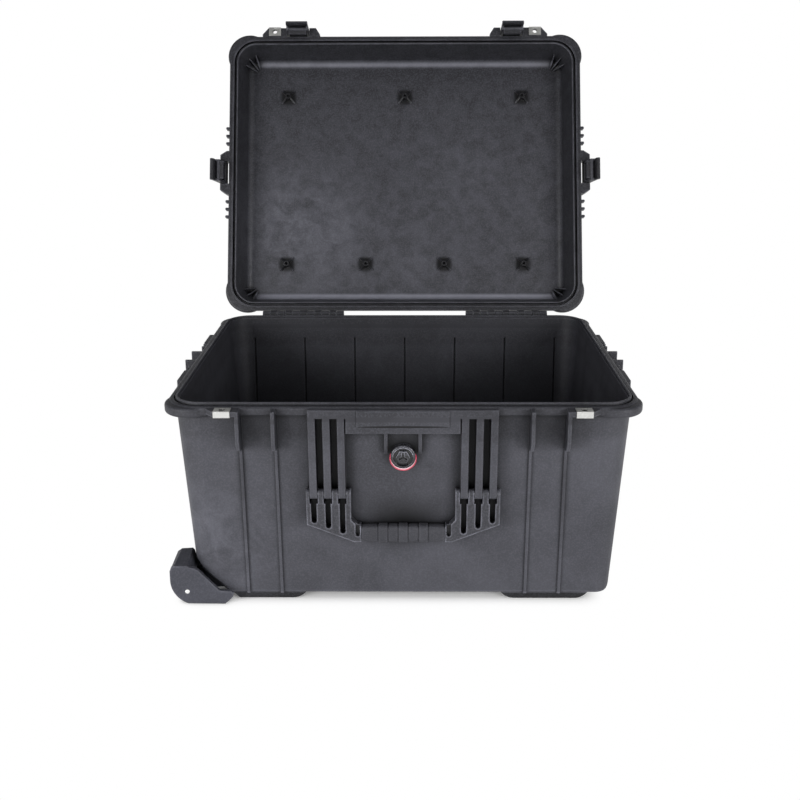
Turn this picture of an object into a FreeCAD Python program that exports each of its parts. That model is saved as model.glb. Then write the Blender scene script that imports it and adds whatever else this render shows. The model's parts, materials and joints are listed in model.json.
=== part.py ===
import FreeCAD, Part
import math
import os

from FreeCAD import Placement, Rotation, Vector

# All sizes are in millimetres. X runs along the front, Y to the rear, Z up from the floor.

# Rim and walls of the two shells
FLANGE_LENGTH = 600.0
FLANGE_WIDTH = 473.0
FLANGE_CORNER = 46.0
RIM_WIDTH = 13.5
BASE_HEIGHT = 278.0
FOOT_HEIGHT = 9.0
WALL = 5.0
WALL_LEAN = 18.0
BOTTOM_ROUND = 5.0
END_ROUND = 15.0
FLOOR_ROUND = 8.0
FLANGE_DEPTH = 11.5
EDGE_ROUND = 3.5
BUMPER_RADIUS = 37.0
BUMPER_REACH = 3.0
BUMPER_DEPTH = 14.0
BUMPER_STEP = 1.5
WALL_EMBED = 2.0

# Seal between the shells
LID_GAP = 0.6
TONGUE_INSET = 1.6
TONGUE_WIDTH = 3.0
TONGUE_HEIGHT = 3.5
DRAIN_WIDTH = 2.5
DRAIN_DEPTH = 2.5
SEAL_CLEARANCE = 0.5
SEAL_SIDE = 0.15
SEAL_HEIGHT = 4.0
RIM_STEP_WIDTH = 5.0
RIM_STEP_DEPTH = 1.5

# Lid
LID_HEIGHT = 62.0
LID_LIP = 1.0
LID_LEAN = 12.0
LID_FLANGE_DEPTH = 12.0
LID_TOP_ROUND = 12.0
LID_CEILING_ROUND = 12.0
LID_OPEN_ANGLE = 109.0
PANEL_LENGTH = FLANGE_LENGTH - 160.0
PANEL_WIDTH = FLANGE_WIDTH - 181.0
PANEL_HEIGHT = 5.0
PANEL_CORNER = 22.0
BOSS_HEIGHT = 13.0
BOSS_SPAN = 31.0
BOSS_FIN = 3.0
BOSS_POST = 5.0
FRONT_BOSS_Y = FLANGE_WIDTH / 2 - 90.5
FRONT_BOSS_X = FLANGE_LENGTH / 2 - 95.0
REAR_BOSS_Y = FLANGE_WIDTH / 2 - 86.5
REAR_BOSS_X = FLANGE_LENGTH / 2 - 94.0
REAR_BOSS_INNER_X = 68.0
GUSSET_WIDTH = 2.0
GUSSET_REACH = 13.0
GUSSET_DEPTH = 24.0

# Hinges
HINGE_X = FLANGE_LENGTH / 2 - 129.5
HINGE_WIDTH = 136.0
HINGE_REACH = 7.0
HINGE_KNUCKLES = 11
KNUCKLE_GAP = 0.6
KNUCKLE_RADIUS = 6.4
HINGE_PIN_RADIUS = 3.0
HINGE_WEB = FLANGE_DEPTH - 1.0
PIN_CLEARANCE = 0.05

# Latches, guards and padlock ears
LATCH_X = FLANGE_LENGTH / 2 - 117.0
LATCH_WIDTH = 36.5
LATCH_PIVOT_OUT = 8.0
LATCH_PIVOT_UP = 11.0
LATCH_PIN_RADIUS = 2.0
LATCH_PIN_HOLD = 7.0
LATCH_SIDE = 0.9
LATCH_BARREL = 5.5
LATCH_LENGTH = 41.0
LATCH_PLATE = 4.0
LATCH_CHEEK = 3.2
LATCH_LIP = 1.5
FRONT_LATCH_REST = 0.0
END_LATCH_REST = 18.0
HOOK_PIN_RADIUS = 1.5
HOOK_PIN_OUT = 6.5
HOOK_REACH = 2.3
HOOK_THICKNESS = 4.8
HOOK_CLEARANCE = 0.6
HOOK_SIDE = 0.35
GUARD_REACH = 14.5
GUARD_WIDTH = 5.0
GUARD_OFFSET = 22.2
GUARD_FOOT_Z = BASE_HEIGHT - 60.0
RIB_WIDTH = 4.2
RIB_PROUD = 3.0
EAR_TIP = 11.0
EAR_BASE = 18.0
PADLOCK_TIP = 32.0
PADLOCK_BASE = 42.0
EAR_HEIGHT = 17.0
EAR_DROP = 1.4
PADLOCK_X = LATCH_X + 40.0
PADLOCK_OUT = 8.5
PADLOCK_RADIUS = 4.0
CLIP_WIDTH = 20.5
CLIP_SHEET = 1.2
CLIP_LEAF = 13.5
CLIP_DEPTH = 6.5
CLIP_NOTCH = 6.5
TOOTH_START = 50.0
TOOTH_PITCH = 13.0
TOOTH_WIDTH = 4.5
TOOTH_REACH = 5.0

# Fold-down handles and their lugs
HANDLE_Z = BASE_HEIGHT - 118.0
HANDLE_STANDOFF = 8.5
HANDLE_HALF = 123.5
HANDLE_INNER = 66.5
HANDLE_DROP = 67.0
HANDLE_SHOULDER = 42.0
HANDLE_KNEE = 63.0
HANDLE_THICKNESS = 12.0
HANDLE_TOP = 6.8
LUG_FACE = 7.0
LUG_WIDTH = 9.6
LUG_OUTER = 114.0
LUG_PITCH = 18.25
LUG_SIDE = 0.6
LUG_NOTCH = 5.0
HANDLE_PIN_RADIUS = 3.0
HEADER_Z = BASE_HEIGHT - 13.5
SLOT_WIDTH = 7.0
POCKET_WIDTH = 5.6
POCKET_RISE = 8.0
CORE_HEIGHT = 15.0
CORE_DEPTH = 8.0
GRIP_HALF = 54.0
GRIP_HEIGHT = 22.0
GRIP_DEPTH = 15.0
GRIP_BAND = 10.0
GRIP_BAND_PITCH = 26.0
GRIP_BAND_PROUD = 0.8

# Nameplate block and purge valve on the front wall
BLOCK_HALF = 71.5
BLOCK_Z = BASE_HEIGHT - 33.0
NAMEPLATE_HALF = 57.7
NAMEPLATE_Z = BASE_HEIGHT - 23.5
NAMEPLATE_HEIGHT = 21.0
NAMEPLATE_PROUD = 1.2
VALVE_Z = BASE_HEIGHT - 66.5
VALVE_STEM = 9.0
VALVE_KNOB = 15.8
VALVE_KNOB_HEIGHT = 8.0
VALVE_RING = 17.4
VALVE_RING_DROP = 4.7
VALVE_RING_THICKNESS = 2.2
VALVE_NUT = 14.0
VALVE_NUT_HEIGHT = 5.0
VALVE_RIB_X = 21.5
VALVE_RIB_Z = BASE_HEIGHT - 64.0
VALVE_RIB_PROUD = 8.0

# Feet and the grooves inside the rear wall
FOOT_X = FLANGE_LENGTH / 2 - 113.0
FOOT_LENGTH = 117.0
FOOT_FLAT = 80.0
FOOT_WIDTH = 38.0
FOOT_INSET = 1.5
INNER_LINE_PITCH = (FLANGE_LENGTH - 99.6) / 6
INNER_LINE_TOP = BASE_HEIGHT - 30.0
INNER_LINE_LOW = 70.0
INNER_LINE_WIDTH = 3.0
INNER_LINE_DEPTH = 1.8

# Wheels and brackets at the left end
WHEEL_X = -FLANGE_LENGTH / 2 + 16.5
WHEEL_Z = 20.0
WHEEL_RADIUS = 19.5
WHEEL_WIDTH = 30.0
WHEEL_Y = FLANGE_WIDTH / 2 - 31.0
WHEEL_SIDE = 1.6
TYRE_DEPTH = 5.0
TYRE_ROUND = 4.0
HUB_INSET = 1.0
AXLE_RADIUS = 3.0
AXLE_PROUD = 1.2
BEARING_RADIUS = 7.5
BEARING_WIDTH = 5.0
BRACKET_PLATE = 5.0
BRACKET_RIM = 22.3
BRACKET_TOP = 57.0
BRACKET_TAIL = 61.0
SADDLE_THICKNESS = 4.5
WELL_FOOT_X = FLANGE_LENGTH / 2 - 74.0
WELL_Y = FLANGE_WIDTH / 2 - 86.5
SADDLE_GAP = 2.0
SCREW_RADIUS = 2.2
SCREW_HEAD = 4.5
SCREW_HEAD_HEIGHT = 3.0
SCREW_BITE = 3.5

# Pull handle under the floor, drawn out to the right
TUNNEL_START = FLANGE_LENGTH / 2 - 118.0
TUNNEL_HALF = 84.0
TUNNEL_Z = 20.0
GUIDE_START = FLANGE_LENGTH / 2 - 124.0
GUIDE_END = FLANGE_LENGTH / 2 - 56.0
GUIDE_HALF = 78.0
GUIDE_PLATE = 2.6
SKID_LENGTH = 120.0
SKID_WIDTH = 30.0
TUBE_Y = 56.0
TUBE_WIDTH = 20.0
TUBE_HEIGHT = 9.0
TUBE_WALL = 1.3
TUBE_FIT = 0.3
TUBE_START = FLANGE_LENGTH / 2 - 130.0
SLEEVE_WALL = 2.2
PULL_X = FLANGE_LENGTH / 2 - 34.0
PULL_DEPTH = 26.0
PULL_HALF = 78.0
PULL_HEIGHT = 15.0
SOCKET_LENGTH = 15.0
SOCKET_HALF = 16.0
BUTTON_HALF = 18.0
BUTTON_HEIGHT = 8.0
BUTTON_PROUD = 3.0
BUTTON_TRAVEL = 4.0
BUTTON_FIT = 0.3
YOKE_DEPTH = 4.0
YOKE_WALL = 6.0
ROD_RADIUS = 2.0
GUIDE_SCREW_Y = 28.0

# Places that follow from the sizes above. Along a wall, n is the distance out from the corner centres.
CORNER_X = FLANGE_LENGTH / 2 - FLANGE_CORNER
CORNER_Y = FLANGE_WIDTH / 2 - FLANGE_CORNER
FLANGE_N = FLANGE_CORNER
MOUTH_N = FLANGE_CORNER - RIM_WIDTH
WALL_TOP_N = MOUTH_N + WALL
FLOOR_Z = FOOT_HEIGHT + WALL
DRAFT = math.degrees(math.atan2(WALL_LEAN, BASE_HEIGHT - FOOT_HEIGHT))
LID_Z = BASE_HEIGHT + LID_GAP
LID_TOP_Z = LID_Z + LID_HEIGHT
CEILING_Z = LID_TOP_Z - WALL
LIP_N = MOUTH_N - LID_LIP
GROOVE_N = MOUTH_N + TONGUE_INSET - SEAL_CLEARANCE
GROOVE_OUT_N = MOUTH_N + TONGUE_INSET + TONGUE_WIDTH + SEAL_CLEARANCE
SEAL_Z = BASE_HEIGHT + TONGUE_HEIGHT + SEAL_CLEARANCE
HINGE_Y = FLANGE_WIDTH / 2 + HINGE_REACH
HINGE_Z = BASE_HEIGHT + LID_GAP / 2
HINGE_N = FLANGE_N + HINGE_REACH
KNUCKLE_WIDTH = (HINGE_WIDTH - (HINGE_KNUCKLES - 1) * KNUCKLE_GAP) / HINGE_KNUCKLES
GUARD_N = FLANGE_N + GUARD_REACH
PIVOT_N = FLANGE_N + LATCH_PIVOT_OUT
PIVOT_Z = BASE_HEIGHT + LATCH_PIVOT_UP
EAR_INNER = LATCH_WIDTH / 2 + LATCH_SIDE
PADLOCK_N = FLANGE_N + PADLOCK_OUT
LUG_COUNT = 3
CORNERS = ((1, 1, 0.0), (-1, 1, 90.0), (-1, -1, 180.0), (1, -1, 270.0))
SIDES = (-1, 1)
UP = Vector(0, 0, 1)
ALONG = Vector(1, 0, 0)
BACK = Vector(0, 1, 0)
ORIGIN = Vector(0, 0, 0)
WALLS = {
    "front": Placement(Vector(0, -CORNER_Y, 0), Rotation(UP, 0)),
    "right": Placement(Vector(CORNER_X, 0, 0), Rotation(UP, 90)),
    "rear": Placement(Vector(0, CORNER_Y, 0), Rotation(UP, 180)),
    "left": Placement(Vector(-CORNER_X, 0, 0), Rotation(UP, -90)),
}
# Each latch: its name, its wall, its place along that wall, its angle open from closed
LATCHES = (
    ("front_left_latch", "front", -LATCH_X, FRONT_LATCH_REST),
    ("front_right_latch", "front", LATCH_X, FRONT_LATCH_REST),
    ("left_latch", "left", 0.0, END_LATCH_REST),
    ("right_latch", "right", 0.0, END_LATCH_REST),
)
HANDLE_WALLS = ("front", "left", "right")


def wall_n(z):
    # how far out the leaning outer wall stands at height z
    return WALL_TOP_N - WALL_LEAN * (BASE_HEIGHT - z) / (BASE_HEIGHT - FOOT_HEIGHT)


HANDLE_N = wall_n(HANDLE_Z) + HANDLE_STANDOFF
HEADER_N = wall_n(HEADER_Z) + HANDLE_STANDOFF + LUG_FACE
FOOT_Y = CORNER_Y + wall_n(FOOT_HEIGHT) - FOOT_WIDTH / 2 - FOOT_INSET


def placed(shape, placement):
    moved = shape.copy()
    moved.Placement = placement.multiply(moved.Placement)
    return moved


def shifted(shape, x, y, z):
    return placed(shape, Placement(Vector(x, y, z), Rotation()))


def turned(shape, axis, angle, centre):
    return placed(shape, Placement(ORIGIN, Rotation(axis, angle), centre))


def on_wall(shape, wall):
    return placed(shape, WALLS[wall])


def opened(shape):
    return turned(shape, ALONG, -LID_OPEN_ANGLE, Vector(0, HINGE_Y, HINGE_Z))


def mirrored(shape, normal, point=ORIGIN):
    return shape.mirror(point, normal)


def box(x0, x1, y0, y1, z0, z1):
    return Part.makeBox(x1 - x0, y1 - y0, z1 - z0, Vector(x0, y0, z0))


def rod(radius, x0, x1, y, z):
    return Part.makeCylinder(radius, x1 - x0, Vector(x0, y, z), ALONG)


def prism(points, along):
    return Part.Face(Part.makePolygon(points + points[:1])).extrude(along)


def slab(outline, a0, a1):
    # prism that runs along a wall; the outline is given as (n, z)
    return prism([Vector(a0, -n, z) for n, z in outline], Vector(a1 - a0, 0, 0))


def plan(outline, z0, z1):
    # upright prism at a wall; the outline is given as (along, n)
    return prism([Vector(a, -n, z0) for a, n in outline], Vector(0, 0, z1 - z0))


def profile(outline, y0, y1):
    # prism along Y; the outline is given as (x, z)
    return prism([Vector(x, y0, z) for x, z in outline], Vector(0, y1 - y0, 0))


def rounded(shape, radius, chosen):
    return shape.makeFillet(radius, [edge for edge in shape.Edges if chosen(edge)])


def at_level(z):
    return lambda edge: all(abs(point.Z - z) < 1e-6 for point in edge.Vertexes)


def runs_along(edge, axis):
    if len(edge.Vertexes) != 2:
        return False
    step = edge.Vertexes[1].Point.sub(edge.Vertexes[0].Point)
    return abs(step.normalize().dot(axis)) > 0.9999


def joined(shapes):
    return shapes[0].multiFuse(shapes[1:]).removeSplitter()


def group(shapes):
    return Part.makeCompound(shapes)


def carved(shape, tools):
    return shape.cut(list(tools))


def corner_point(corner, turn, n, z):
    angle = math.radians(corner[2] + turn)
    x = corner[0] * CORNER_X + n * math.cos(angle)
    y = corner[1] * CORNER_Y + n * math.sin(angle)
    return Vector(x, y, z)


def plan_wire(n, z):
    # rounded rectangle whose corners are arcs of radius n about the corner centres
    edges = []
    for i, corner in enumerate(CORNERS):
        following = CORNERS[(i + 1) % 4]
        start = corner_point(corner, 0, n, z)
        middle = corner_point(corner, 45, n, z)
        end = corner_point(corner, 90, n, z)
        edges.append(Part.Arc(start, middle, end).toShape())
        edges.append(Part.makeLine(end, corner_point(following, 0, n, z)))
    return Part.Wire(edges)


def tapered(n0, z0, n1, z1):
    # block with flat leaning sides and conical corners
    return Part.makeLoft([plan_wire(n0, z0), plan_wire(n1, z1)], True, True)


def band(n_in, n_out, z0, z1):
    return tapered(n_out, z0, n_out, z1).cut(tapered(n_in, z0, n_in, z1))


def eased(shape, radius):
    # rounds the long outer edges of a rib that stands on the wall
    def outer(edge):
        if len(edge.Vertexes) != 2 or runs_along(edge, ALONG):
            return False
        return all(-point.Y > wall_n(point.Z) + 0.4 for point in edge.Vertexes)

    return rounded(shape, radius, outer)


def bumpers(z0, z1):
    # round posts that stand proud of the rim at its four corners
    found = []
    out = FLANGE_N + BUMPER_REACH - BUMPER_RADIUS
    for sx, sy, _ in CORNERS:
        place = Vector(sx * (CORNER_X + out), sy * (CORNER_Y + out), z0)
        post = Part.makeCylinder(BUMPER_RADIUS, z1 - z0, place)
        found.append(rounded(post, EDGE_ROUND, lambda edge: len(edge.Vertexes) == 1))
    return found


def rim_flange(z0, z1):
    block = tapered(FLANGE_N, z0, FLANGE_N, z1)
    return rounded(block, EDGE_ROUND, lambda edge: at_level(z0)(edge) or at_level(z1)(edge))


def guard(a):
    outline = [
        (wall_n(GUARD_FOOT_Z) - WALL_EMBED, GUARD_FOOT_Z),
        (GUARD_N - 7.0, GUARD_FOOT_Z + 5.0),
        (GUARD_N, GUARD_FOOT_Z + 16.0),
        (GUARD_N, BASE_HEIGHT - BUMPER_STEP),
        (WALL_TOP_N - WALL_EMBED, BASE_HEIGHT - BUMPER_STEP),
    ]
    return eased(slab(outline, a - GUARD_WIDTH / 2, a + GUARD_WIDTH / 2), 1.2)


def wall_rib(a, z_top):
    z_foot = FOOT_HEIGHT + 1.5
    outline = [
        (wall_n(z_top) - WALL_EMBED, z_top),
        (wall_n(z_top) + RIB_PROUD, z_top),
        (wall_n(z_foot) + RIB_PROUD, z_foot),
        (wall_n(z_foot) - BOTTOM_ROUND, z_foot),
        (wall_n(z_foot + BOTTOM_ROUND) - WALL_EMBED, z_foot + BOTTOM_ROUND),
    ]
    return eased(slab(outline, a - RIB_WIDTH / 2, a + RIB_WIDTH / 2), 1.2)


def hung(shape):
    # places a piece drawn about a handle's pivot so that it hangs along the leaning wall
    leaned = turned(shape, ALONG, DRAFT, ORIGIN)
    return shifted(leaned, 0, -HANDLE_N, HANDLE_Z)


def lug_places():
    return [side * (LUG_OUTER - i * LUG_PITCH) for side in SIDES for i in range(LUG_COUNT)]


def handle_lug(a):
    a0 = a - LUG_WIDTH / 2
    a1 = a + LUG_WIDTH / 2
    back = HANDLE_STANDOFF + WALL_EMBED
    bar = box(a0, a1, -LUG_FACE, back, 0, HEADER_Z + 4.0 - HANDLE_Z)
    bar = rounded(bar, 1.5, lambda edge: runs_along(edge, UP) and edge.Vertexes[0].Y < 0)
    tip = rod(LUG_FACE, a0, a1, 0, 0)
    root = box(a0, a1, 0, back, -LUG_FACE, 0)
    return hung(joined([bar, tip, root]))


def header(a0, a1, z0):
    outline = [
        (WALL_TOP_N - WALL_EMBED, z0),
        (HEADER_N, z0),
        (HEADER_N, BASE_HEIGHT - BUMPER_STEP),
        (WALL_TOP_N - WALL_EMBED, BASE_HEIGHT - BUMPER_STEP),
    ]
    block = slab(outline, a0, a1)
    return rounded(block, 1.5, lambda edge: all(-point.Y > HEADER_N - 0.1 for point in edge.Vertexes))


def handle_station(wall):
    pieces = [handle_lug(a) for a in lug_places()]
    inner = LUG_OUTER - (LUG_COUNT - 1) * LUG_PITCH - LUG_WIDTH / 2
    outer = LUG_OUTER + LUG_WIDTH / 2
    if wall == "front":
        pieces.append(header(-outer, outer, HEADER_Z))
        pieces.append(header(-BLOCK_HALF, BLOCK_HALF, BLOCK_Z))
    else:
        pieces.append(header(inner, outer, HEADER_Z))
        pieces.append(header(-outer, -inner, HEADER_Z))
    return [on_wall(piece, wall) for piece in pieces]


def nameplate():
    face = HEADER_N + NAMEPLATE_PROUD
    outline = [
        (HEADER_N - 1.0, NAMEPLATE_Z),
        (face, NAMEPLATE_Z),
        (face, NAMEPLATE_Z + NAMEPLATE_HEIGHT),
        (HEADER_N - 1.0, NAMEPLATE_Z + NAMEPLATE_HEIGHT),
    ]
    return on_wall(slab(outline, -NAMEPLATE_HALF, NAMEPLATE_HALF), "front")


def valve_rib(a):
    top = BLOCK_Z + 3.0
    outline = [
        (wall_n(VALVE_RIB_Z) - WALL_EMBED, VALVE_RIB_Z),
        (wall_n(VALVE_RIB_Z) + VALVE_RIB_PROUD - 3.0, VALVE_RIB_Z),
        (wall_n(VALVE_RIB_Z + 6.0) + VALVE_RIB_PROUD, VALVE_RIB_Z + 6.0),
        (wall_n(top) + VALVE_RIB_PROUD, top),
        (wall_n(top) - WALL_EMBED, top),
    ]
    return on_wall(slab(outline, a - RIB_WIDTH / 2, a + RIB_WIDTH / 2), "front")


def base_ear(side):
    inner = LATCH_X + GUARD_OFFSET
    tip = LATCH_X + EAR_INNER + PADLOCK_TIP
    foot = LATCH_X + EAR_INNER + PADLOCK_BASE
    outline = [
        (side * inner, WALL_TOP_N - WALL_EMBED),
        (side * inner, GUARD_N),
        (side * tip, GUARD_N),
        (side * foot, GUARD_N - 11.0),
        (side * foot, WALL_TOP_N - WALL_EMBED),
    ]
    top = BASE_HEIGHT - EAR_DROP + LID_GAP / 2
    block = plan(outline, top - CLIP_DEPTH, top)
    notch = box(
        side * PADLOCK_X - CLIP_NOTCH,
        side * PADLOCK_X + CLIP_NOTCH,
        -GUARD_N - 5.0,
        -PADLOCK_N + CLIP_NOTCH,
        top - CLIP_DEPTH - 1.0,
        top + 1.0,
    )
    return on_wall(block.cut(notch), "front")


def teeth(wall, z0, z1):
    found = []
    for side in SIDES:
        for i in range(3):
            a = side * (TOOTH_START + i * TOOTH_PITCH)
            outline = [
                (WALL_TOP_N, z0),
                (FLANGE_N + TOOTH_REACH, z0),
                (FLANGE_N + TOOTH_REACH, z1),
                (WALL_TOP_N, z1),
            ]
            tooth = slab(outline, a - TOOTH_WIDTH / 2, a + TOOTH_WIDTH / 2)
            outer = -FLANGE_N - TOOTH_REACH + 0.1
            tooth = rounded(tooth, 1.8, lambda e: runs_along(e, UP) and e.Vertexes[0].Y < outer)
            found.append(on_wall(tooth, wall))
    return found


def knuckle_places(parity):
    found = []
    for side in SIDES:
        start = side * HINGE_X - HINGE_WIDTH / 2
        for i in range(parity, HINGE_KNUCKLES, 2):
            found.append(start + i * (KNUCKLE_WIDTH + KNUCKLE_GAP))
    return found


def knuckle(a0, lower):
    # one hinge knuckle and the web that carries it, below the rim for the base and above it for the lid
    flip = -1 if lower else 1
    rim = BASE_HEIGHT if lower else LID_Z
    rise = KNUCKLE_RADIUS * math.sqrt(0.5)
    outline = [
        (FLANGE_N - 5.0, rim + flip * HINGE_WEB),
        (FLANGE_N - 0.5, rim + flip * HINGE_WEB),
        (HINGE_N + rise, HINGE_Z + flip * rise),
        (HINGE_N, HINGE_Z),
        (FLANGE_N - 5.0, rim),
    ]
    if not lower:
        outline[0] = (FLANGE_N - 5.0, rim + LID_FLANGE_DEPTH - 1.0)
        outline[1] = (FLANGE_N - 0.5, rim + LID_FLANGE_DEPTH - 1.0)
    web = slab(outline, a0, a0 + KNUCKLE_WIDTH)
    eye = rod(KNUCKLE_RADIUS, a0, a0 + KNUCKLE_WIDTH, -HINGE_N, HINGE_Z)
    return on_wall(web.fuse(eye), "rear")


def hinge_holes():
    radius = HINGE_PIN_RADIUS + PIN_CLEARANCE
    half = HINGE_WIDTH / 2 + 5.0
    return [rod(radius, s * HINGE_X - half, s * HINGE_X + half, HINGE_Y, HINGE_Z) for s in SIDES]


def foot(x, y):
    half = FOOT_LENGTH / 2
    flat = FOOT_FLAT / 2
    top = FOOT_HEIGHT + 1.0
    run = half - flat
    radius = (run * run + top * top) / (2 * top)
    angle = math.atan2(run, radius - top) / 2
    edges = []
    for s in SIDES:
        start = Vector(s * half, 0, top)
        middle = Vector(s * (flat + radius * math.sin(angle)), 0, radius - radius * math.cos(angle))
        edges.append(Part.Arc(start, middle, Vector(s * flat, 0, 0)).toShape())
    edges.append(Part.makeLine(Vector(-flat, 0, 0), Vector(flat, 0, 0)))
    edges.append(Part.makeLine(Vector(-half, 0, top), Vector(half, 0, top)))
    face = Part.Face(Part.Wire(Part.__sortEdges__(edges)))
    block = face.extrude(Vector(0, FOOT_WIDTH, 0))
    low = rounded(block, 3.0, lambda e: at_level(0)(e) and runs_along(e, ALONG))
    return shifted(low, x, y - FOOT_WIDTH / 2, 0)


def well_wedge(offset, y_start):
    # corner of the shell that is cut away on a 45 degree slope to make room for a wheel
    line = -WELL_FOOT_X + FOOT_HEIGHT + offset
    reach = FLANGE_LENGTH / 2 + 40.0
    outline = [(line + 1.0, -1.0), (-reach, -1.0), (-reach, line + reach)]
    far = FLANGE_WIDTH
    return [profile(outline, -far, -y_start), profile(outline, y_start, far)]


def base_cavity():
    top = BASE_HEIGHT + 8.0
    block = tapered(wall_n(FLOOR_Z) - WALL, FLOOR_Z, wall_n(top) - WALL, top)
    block = rounded(block, FLOOR_ROUND, at_level(FLOOR_Z))
    half = TUNNEL_HALF + WALL
    end = FLANGE_LENGTH / 2
    platform = box(-TUNNEL_START - WALL, end, -half, half, 0, TUNNEL_Z + WALL)
    return carved(block, [platform] + well_wedge(WALL * math.sqrt(2), WELL_Y - WALL))


def inner_lines():
    # shallow upright grooves in the inside of the rear wall
    found = []
    low = wall_n(INNER_LINE_LOW) - WALL
    top = wall_n(INNER_LINE_TOP) - WALL
    outline = [
        (low - 3.0, INNER_LINE_LOW),
        (low + INNER_LINE_DEPTH, INNER_LINE_LOW),
        (top + INNER_LINE_DEPTH, INNER_LINE_TOP - 6.0),
        (top - 3.0, INNER_LINE_TOP),
    ]
    for i in range(-3, 4):
        a = i * INNER_LINE_PITCH
        found.append(on_wall(slab(outline, a - INNER_LINE_WIDTH / 2, a + INNER_LINE_WIDTH / 2), "rear"))
    return found


def end_corners():
    # what is cut away under the two ends to round their lower edges, tangent to the leaning walls
    lean = math.tan(math.radians(DRAFT))
    out = CORNER_X + wall_n(FOOT_HEIGHT)
    r = END_ROUND
    x = out + lean * r - r / math.cos(math.radians(DRAFT)) - 0.05
    z = FOOT_HEIGHT + r + 0.05
    start = Vector(x, 0, z - r)
    middle = Vector(x + r * math.sqrt(0.5), 0, z - r * math.sqrt(0.5))
    end = Vector(x + r * math.cos(math.radians(DRAFT)), 0, z - r * math.sin(math.radians(DRAFT)))
    beside = Vector(out + 9.0, 0, end.z)
    below = Vector(out + 9.0, 0, FOOT_HEIGHT - 2.0)
    under = Vector(x, 0, FOOT_HEIGHT - 2.0)
    corners = [end, beside, below, under, start]
    edges = [Part.Arc(start, middle, end).toShape()]
    edges += [Part.makeLine(a, b) for a, b in zip(corners, corners[1:])]
    far = FLANGE_WIDTH / 2
    tool = Part.Face(Part.Wire(edges)).extrude(Vector(0, 2 * far, 0))
    tool = shifted(tool, 0, -far, 0)
    return [tool, mirrored(tool, ALONG)]


def valve_placed(shape):
    # a piece drawn about the wall's outer face, pointing out along -Y, set square to the leaning wall
    leaned = turned(shape, ALONG, DRAFT, ORIGIN)
    return on_wall(shifted(leaned, 0, -wall_n(VALVE_Z), VALVE_Z), "front")


def disc(radius, y0, y1, z=0.0):
    return Part.makeCylinder(radius, y1 - y0, Vector(0, y0, z), BACK)


def saddle_point(along):
    # point on the sloping face of a wheel well, measured up the slope from the floor line
    step = along * math.sqrt(0.5)
    return Vector(-WELL_FOOT_X + FOOT_HEIGHT - step, 0, step)


def bracket_screw_places():
    y = (WELL_Y + 1.5 + WHEEL_Y - WHEEL_WIDTH / 2 - WHEEL_SIDE - BRACKET_PLATE) / 2
    return [(saddle_point(24.0), y), (saddle_point(50.0), y)]


def bracket_screw_holes(radius, length):
    slope = Vector(1, 0, 1).normalize()
    found = []
    for point, y in bracket_screw_places():
        for s in SIDES:
            start = Vector(point.x, s * y, point.z).sub(slope * (SADDLE_THICKNESS + 1.0))
            found.append(Part.makeCylinder(radius, SADDLE_THICKNESS + 1.0 + length, start, slope))
    return found


def guide_screw_places():
    xs = (-GUIDE_START + 15.0, 20.0, GUIDE_END - 15.0)
    return [(x, s * GUIDE_SCREW_Y) for x in xs for s in SIDES]


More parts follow.
